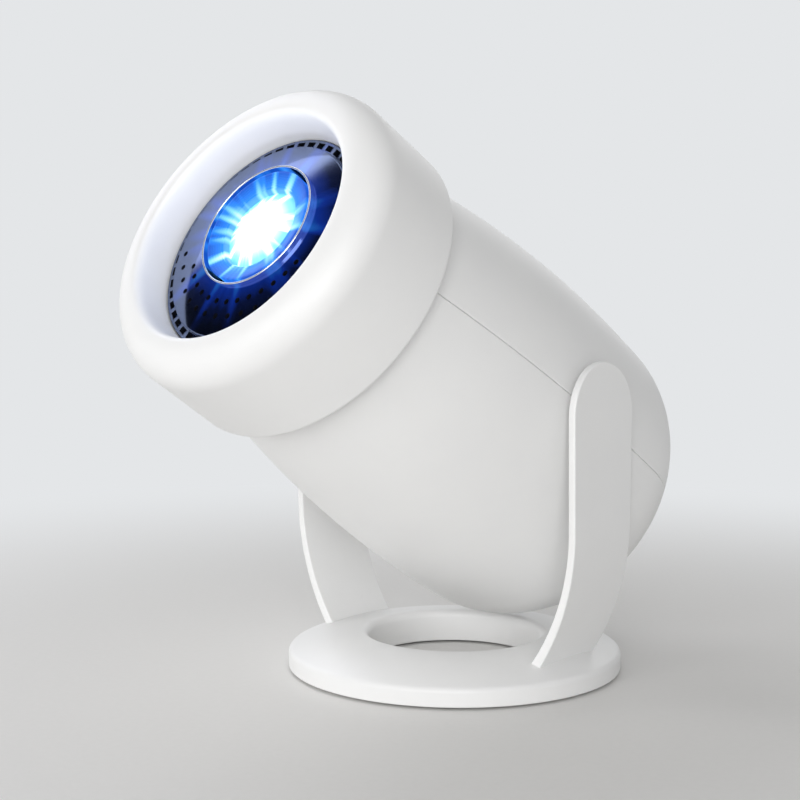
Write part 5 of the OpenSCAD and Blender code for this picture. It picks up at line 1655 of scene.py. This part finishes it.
    def power(self) -> None:
        """Makes the power inlet."""
        y, width, height, length = self.inlet
        z, count, edge = self.out_z, self.inlet_points, self.inlet_edge
        blocks = [rectangle(0.0, 0.0, width - 2.0 * inset, height - 2.0 * inset, self.inlet_round)
                  for inset in (0.0, edge)]
        outer = [spaced(block, count) for block in blocks]
        mouth = spaced(self.inlet_mouth(), count)
        flared = [(px * self.mouth_flare[0], py * self.mouth_flare[1]) for px, py in mouth]
        bm = bmesh.new()
        skin(bm, [(mouth, z + self.inlet_depth), (mouth, z + self.mouth_edge), (flared, z), (outer[1], z),
                  (outer[0], z + edge), (outer[0], z + length)], Matrix.Translation((0.0, y, 0.0)))
        block = to_object("power_inlet_block", bm, HEAD, 30.0)
        seat(block, BLACK_PA.material(), "head", "black_plastic", "power_inlet")

    def controls(self) -> None:
        """Makes the button with its dished cap, and the light guide with its round tip."""
        x, y, r = self.button
        z = self.out_z
        reach = math.degrees(math.asin((r - self.dish_in) / self.dish_r))
        dish = arc((0.0, z - self.button_proud - self.dish_r), self.dish_r, 90.0, 90.0 - reach, 10)
        edge_r, edge_up = self.button_edge
        edge = arc((r - edge_r, z - edge_up), edge_r, -90.0, 0.0, 6)
        wide, start, end = self.button_flange
        stem_r, stem_end = self.button_stem
        rest = [(r, z + start), (r + wide, z + start), (r + wide, z + end), (stem_r, z + end),
                (stem_r, z + stem_end), (0.0, z + stem_end)]
        bm = bmesh.new()
        cap = held([(0.0, z - self.button_proud)] + dish[1:] + edge + rest, 0.05)
        lathe(bm, cap, 64, Matrix.Translation((x, y, 0.0)))
        seat(to_object("button_cap", bm, HEAD), GREY_ABS.material(), "button", "grey_plastic", "power_button")
        x, y, r = self.light
        tip_r, tip_z = self.light_tip
        wide, start, end = self.light_flange
        tip = arc((0.0, z + tip_z), tip_r, -90.0, -90.0 + math.degrees(math.asin(r / tip_r)), 8)
        rest = [(r, z + start), (r + wide, z + start), (r + wide, z + end), (r, z + end),
                (r, z + self.light_end), (0.0, z + self.light_end)]
        bm = bmesh.new()
        lathe(bm, held(tip + rest, 0.05), 48, Matrix.Translation((x, y, 0.0)))
        guide = to_object("light_guide", bm, HEAD)
        seat(guide, LIGHT_GUIDE.material(), "head", "field_acrylic", "status_light")

    def build(self) -> None:
        """Makes all pieces of the connection field."""
        self.shell("picture_socket_shell", "picture_socket", self.picture)
        self.shell("data_socket_shell", "data_socket", self.data)
        self.tongues()
        self.power()
        self.controls()


@dataclass
class FocusWheel:
    """Knurled wheel with its hub and pinion."""

    axle_y: float = 35.5
    radius: float = 11.8
    low: float = 63.5
    width: float = 9.0
    ridges: int = 40
    ridge_r: float = 0.5
    hub_r: float = 5.0
    hub: Point = (50.3, 73.8)
    bore_r: float = 1.58
    bore_edge: float = 0.2
    hub_edge: float = 0.3
    rim_edge: float = 0.7
    teeth: int = 14
    tooth: tuple[float, float, float] = (2.4, 1.5, 9.0)
    tooth_mid: Point = (6.5, 57.2)

    @staticmethod
    def tree() -> bpy.types.NodeTree:
        """Node tree that adds a ring of ridges and a ring of teeth to the wheel.

        Returns:
            The tree.
        """
        tree, given = new_tree("wheel_grip", {
            "Ridges": "Int", "Ridge ring": "Float", "Ridge radius": "Float", "Ridge length": "Float",
            "Ridge height": "Float", "Teeth": "Int", "Tooth ring": "Float", "Tooth size": "Vector",
            "Tooth height": "Float", "Material": "Material"})
        value = given.outputs
        bar = put(tree, "GeometryNodeMeshCylinder", {
            "Vertices": 12, "Radius": value["Ridge radius"], "Depth": value["Ridge length"]})
        block = put(tree, "GeometryNodeMeshCube", {"Size": value["Tooth size"]})
        joined = put(tree, "GeometryNodeJoinGeometry")
        tree.links.new(value["Geometry"], joined.inputs[0])
        for count, ring, height, shape in (("Ridges", "Ridge ring", "Ridge height", bar),
                                           ("Teeth", "Tooth ring", "Tooth height", block)):
            placed = around(tree, value[count], value[ring], shape.outputs["Mesh"])
            up = put(tree, "ShaderNodeCombineXYZ", {"Z": value[height]})
            moved = put(tree, "GeometryNodeTransform", {
                "Geometry": placed.outputs[0], "Translation": up.outputs[0]})
            tree.links.new(moved.outputs[0], joined.inputs[0])
        close_tree(tree, joined.outputs[0], value["Material"])
        return tree

    def build(self) -> None:
        """Turns the wheel and adds its ridges and teeth."""
        rim, top = self.radius - self.ridge_r, self.low + self.width
        bm = bmesh.new()
        lathe(bm, held(rounded([
            (self.bore_r, self.hub[0], self.bore_edge), (self.hub_r, self.hub[0], self.hub_edge),
            (self.hub_r, self.low, 0.0), (rim, self.low, self.rim_edge), (rim, top, self.rim_edge),
            (self.hub_r, top, 0.0), (self.hub_r, self.hub[1], self.hub_edge),
            (self.bore_r, self.hub[1], self.bore_edge)]), 0.06), 120)
        wheel = to_object("focus_wheel_grip", bm)
        grown(wheel, self.tree(), {
            "Ridges": self.ridges, "Ridge ring": rim * MM, "Ridge radius": self.ridge_r * MM,
            "Ridge length": (self.width - 2.0 * self.rim_edge) * MM,
            "Ridge height": (self.low + 0.5 * self.width) * MM,
            "Teeth": self.teeth, "Tooth ring": self.tooth_mid[0] * MM,
            "Tooth size": tuple(side * MM for side in self.tooth), "Tooth height": self.tooth_mid[1] * MM,
            "Material": BLACK_PA.material()})
        phase = Matrix.Rotation(math.radians(-90.0 + 180.0 / self.teeth), 4, "Z")
        settle(wheel, HEAD @ Matrix.Translation((0.0, self.axle_y * MM, 0.0)) @ phase, 35.0)
        seat(wheel, BLACK_PA.material(), "focus_wheel", "black_plastic", "focus_wheel")


@dataclass
class Underside:
    """Rubber foot ring and the screws that hold the closing plate and the arms."""

    foot: Point = (45.0, 50.0)
    foot_h: float = 1.2
    foot_round: float = 0.35
    seat_z: float = 2.3
    plate_ring: float = 41.75
    plate_turns: tuple[float, ...] = (45.0, 135.0, 225.0, 315.0)
    arm_place: Point = (36.9, 7.0)
    plate_grip: float = 4.0
    arm_grip: float = 3.3

    def build(self) -> None:
        """Turns the foot and sets the screws."""
        inner, outer = self.foot
        bm = bmesh.new()
        lathe(bm, held(rounded([(inner, 0.0, self.foot_round), (outer, 0.0, self.foot_round),
                                (outer, self.foot_h, 0.0), (inner, self.foot_h, 0.0)]), 0.06), 160)
        seat(to_object("rubber_foot", bm), RUBBER.material(), "stand", "foot_rubber", "foot_ring")
        down, turns = Vector((180.0, 0.0, 0.0)), [math.radians(a) for a in self.plate_turns]
        ring = [(Vector((self.plate_ring * math.cos(a), self.plate_ring * math.sin(a), self.seat_z)),
                 Vector((1.0, 1.0, self.plate_grip)), down) for a in turns]
        ScrewSet("base_screw_heads", "base_screws", "stand", STAND, ring).build()
        far, wide = self.arm_place
        arms = [(Vector((x, y, self.seat_z)), Vector((1.0, 1.0, self.arm_grip)), down)
                for x in (-far, far) for y in (-wide, wide)]
        ScrewSet("arm_screw_heads", "arm_screws", "stand", STAND, arms).build()


class CarriedNodes:
    """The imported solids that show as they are, with their finishes."""

    @staticmethod
    def build() -> None:
        """Gives every node of the frame the finish of its material slot."""
        for row in frame["record"]["subparts"]:
            node = frame["nodes"][row["node"]]
            material = SLOT_FINISH[row["material_slot"]].material()
            if not node.material_slots:
                node.data.materials.append(material)
            for slot in node.material_slots:
                slot.material = material


@dataclass
class Studio:
    """Pale floor, soft light and the camera of the photograph."""

    camera_at: tuple[float, float, float] = (0.27710, -0.34424, 0.11462)
    camera_way: tuple[float, float, float] = (-0.6571, 0.7514, -0.0599)
    camera_lens: float = 60.22
    camera_sensor: float = 36.0
    camera_near: float = 0.01
    backdrop: str = "#E4E6E8"
    ambient: float = 0.3
    floor_r: float = 6.0
    floor_fade: Point = (0.1, 0.5)
    floor_fibre_mm: float = 2.0
    floor_tints: tuple[str, str] = ("#ECEBE9", "#E8E7E5")

    def camera(self) -> None:
        """Sets the camera of the photograph."""
        data = bpy.data.cameras.new("photo_camera")
        data.lens, data.sensor_width = self.camera_lens, self.camera_sensor
        data.clip_start = self.camera_near
        camera = bpy.data.objects.new("photo_camera", data)
        camera.location = self.camera_at
        camera.rotation_euler = Vector(self.camera_way).to_track_quat("-Z", "Y").to_euler()
        bpy.context.scene.collection.objects.link(camera)
        bpy.context.scene.camera = camera

    @staticmethod
    def lamp(name: str, turn: float, height: float, size: Point, power: float, shows: bool = True) -> None:
        """Adds a soft rectangular lamp that points at the middle of the object.

        Args:
            name: Name of the lamp.
            turn: Direction to the lamp in degrees around Z, from X.
            height: Direction to the lamp in degrees above the floor.
            size: Width and height of the lamp in metres.
            power: Power in watts.
            shows: Whether reflections show the lamp.
        """
        data = bpy.data.lights.new(name, "AREA")
        data.shape, data.energy = "RECTANGLE", power
        data.size, data.size_y = size
        lamp = bpy.data.objects.new(name, data)
        side, rise = math.radians(turn), math.radians(height)
        flat = LAMP_AWAY * math.cos(rise)
        at = Vector((flat * math.cos(side), flat * math.sin(side), LAMP_AWAY * math.sin(rise)))
        lamp.location = at + Vector((0.0, 0.0, AIM_UP))
        lamp.rotation_euler = (-at).to_track_quat("-Z", "Y").to_euler()
        lamp.visible_glossy = shows
        bpy.context.scene.collection.objects.link(lamp)

    @staticmethod
    def lens_light(at: Vector, radius: float, colour: str, power: float) -> None:
        """Adds the light that the lit lens throws on the hood round it. It moves with the head.

        Args:
            at: Its place in the head frame, in millimetres.
            radius: Its radius in millimetres.
            colour: Its colour.
            power: Power in watts.
        """
        data = bpy.data.lights.new("lens_light", "POINT")
        data.shadow_soft_size, data.energy = radius * MM, power
        data.color = linear(colour)[:3]
        lamp = bpy.data.objects.new("lens_light", data)
        lamp.location = HEAD @ (at * MM)
        lamp.parent = frame["bodies"]["head"]
        lamp.visible_camera = lamp.visible_glossy = lamp.visible_transmission = False
        bpy.context.scene.collection.objects.link(lamp)

    @staticmethod
    def card(name: str, turn: float, height: float, size: Point, colour: str, strength: float) -> None:
        """Adds a card that shows in glossy reflections only.

        Args:
            name: Name of the card.
            turn: Direction to the card in degrees around Z, from X.
            height: Direction to the card in degrees above the floor.
            size: Width and height of the card in metres.
            colour: Colour of the card.
            strength: Brightness of the card.
        """
        bm = bmesh.new()
        bmesh.ops.create_grid(bm, x_segments=1, y_segments=1, size=0.5)
        card = to_object(name, bm)
        aim = (Matrix.Rotation(math.radians(turn), 4, "Z")
               @ Matrix.Rotation(math.radians(90.0 - height), 4, "Y"))
        card.data.transform(Matrix.Translation((0.0, 0.0, AIM_UP)) @ aim
                            @ Matrix.Translation((0.0, 0.0, CARD_AWAY))
                            @ Matrix.Diagonal((size[1], size[0], 1.0, 1.0)))
        material = bpy.data.materials.new(name + "_paper")
        tree = blank(material)
        light = put(tree, "ShaderNodeEmission", {"Color": linear(colour), "Strength": strength})
        put(tree, "ShaderNodeOutputMaterial", {"Surface": light.outputs[0]})
        card.data.materials.append(material)
        card.visible_camera = card.visible_diffuse = card.visible_shadow = card.visible_transmission = False

    @staticmethod
    def seen(tree: bpy.types.NodeTree) -> bpy.types.NodeSocket:
        """Tells whether a ray looks at the backdrop itself: from the camera, in a mirror or through glass.

        Args:
            tree: Node tree that gets the nodes.

        Returns:
            Output that is one for such a ray, and otherwise zero.
        """
        path = put(tree, "ShaderNodeLightPath").outputs
        eye = put(tree, "ShaderNodeMath", {
            0: path["Is Camera Ray"], 1: path["Is Glossy Ray"]}, operation="MAXIMUM")
        return put(tree, "ShaderNodeMath", {
            0: eye.outputs[0], 1: path["Is Transmission Ray"]}, operation="MAXIMUM").outputs[0]

    def world(self) -> None:
        """Pale backdrop for the camera and for reflections, and a softer ambient light on the object."""
        world = bpy.data.worlds.new("studio")
        bpy.context.scene.world = world
        tree = blank(world)
        soft = put(tree, "ShaderNodeBackground", {"Color": linear("#FFFFFF"), "Strength": self.ambient})
        pale = put(tree, "ShaderNodeBackground", {"Color": linear(self.backdrop), "Strength": 1.0})
        mixed = put(tree, "ShaderNodeMixShader", {
            0: self.seen(tree), 1: soft.outputs[0], 2: pale.outputs[0]})
        put(tree, "ShaderNodeOutputWorld", {"Surface": mixed.outputs[0]})

    def floor(self) -> None:
        """Pale floor that keeps the shadow near the object and fades into the backdrop."""
        bm = bmesh.new()
        bmesh.ops.create_circle(bm, cap_ends=True, segments=96, radius=self.floor_r)
        floor = to_object("studio_floor", bm)
        material = bpy.data.materials.new("pale_paper_floor")
        tree = blank(material)
        where = put(tree, "ShaderNodeTexCoord").outputs["Object"]
        far = put(tree, "ShaderNodeVectorMath", {0: where}, operation="LENGTH")
        fade = put(tree, "ShaderNodeMapRange", {
            "Value": far.outputs["Value"], "From Min": self.floor_fade[0], "From Max": self.floor_fade[1]},
            interpolation_type="SMOOTHSTEP")
        share = put(tree, "ShaderNodeMath", {
            0: self.seen(tree), 1: fade.outputs["Result"]}, operation="MULTIPLY")
        fibre = put(tree, "ShaderNodeTexNoise", {
            "Vector": where, "Scale": 1.0 / (self.floor_fibre_mm * MM), "Detail": 2.0})
        tint = put(tree, "ShaderNodeMix", {
            0: fibre.outputs["Fac"], 6: linear(self.floor_tints[0]), 7: linear(self.floor_tints[1])},
            data_type="RGBA")
        paper = put(tree, "ShaderNodeBsdfPrincipled", {"Base Color": tint.outputs[2], "Roughness": 0.7})
        pale = put(tree, "ShaderNodeEmission", {"Color": linear(self.backdrop), "Strength": 1.0})
        mixed = put(tree, "ShaderNodeMixShader", {
            0: share.outputs[0], 1: paper.outputs[0], 2: pale.outputs[0]})
        put(tree, "ShaderNodeOutputMaterial", {"Surface": mixed.outputs[0]})
        floor.data.materials.append(material)

    def build(self) -> None:
        """Sets the whole studio."""
        bpy.context.scene.view_settings.view_transform = "Standard"
        self.camera()
        self.world()
        self.floor()
        self.card("white_card", 178.0, 40.0, (0.75, 0.9), "#EDF0FF", 2.0)
        self.card("black_flag", -131.0, 40.0, (1.1, 0.9), "#05070E", 1.0)
        self.lamp("side", 168.0, 42.0, (0.8, 0.8), 2.8)
        self.lamp("key", -90.0, 12.0, (0.5, 0.5), 2.6)
        self.lamp("fill", -52.0, 9.0, (0.6, 0.6), 5.9)
        self.lamp("rear", 114.0, 22.0, (0.7, 0.7), 1.4)
        self.lamp("left", -152.0, 5.0, (0.5, 0.5), 3.8, shows=False)
        self.lens_light(Vector((2.0, -6.0, 108.0)), 2.5, "#E6EDFF", 0.0125)


def main() -> None:
    """Builds the pieces in order."""
    logging.basicConfig(level=logging.INFO, format="%(message)s")
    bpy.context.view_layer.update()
    Studio().build()
    CarriedNodes().build()
    BaseRing().build()
    Arm(Side.LEFT, "left_arm").build()
    Arm(Side.RIGHT, "right_arm").build()
    BodyShell(Half.UPPER, "upper_shell").build()
    BodyShell(Half.LOWER, "lower_shell").build()
    Hood().build()
    FacePlate().build()
    LensUnit().build()
    FocusWheel().build()
    RearPanel().build()
    Sockets().build()
    Underside().build()


if __name__ == "__main__":
    main()
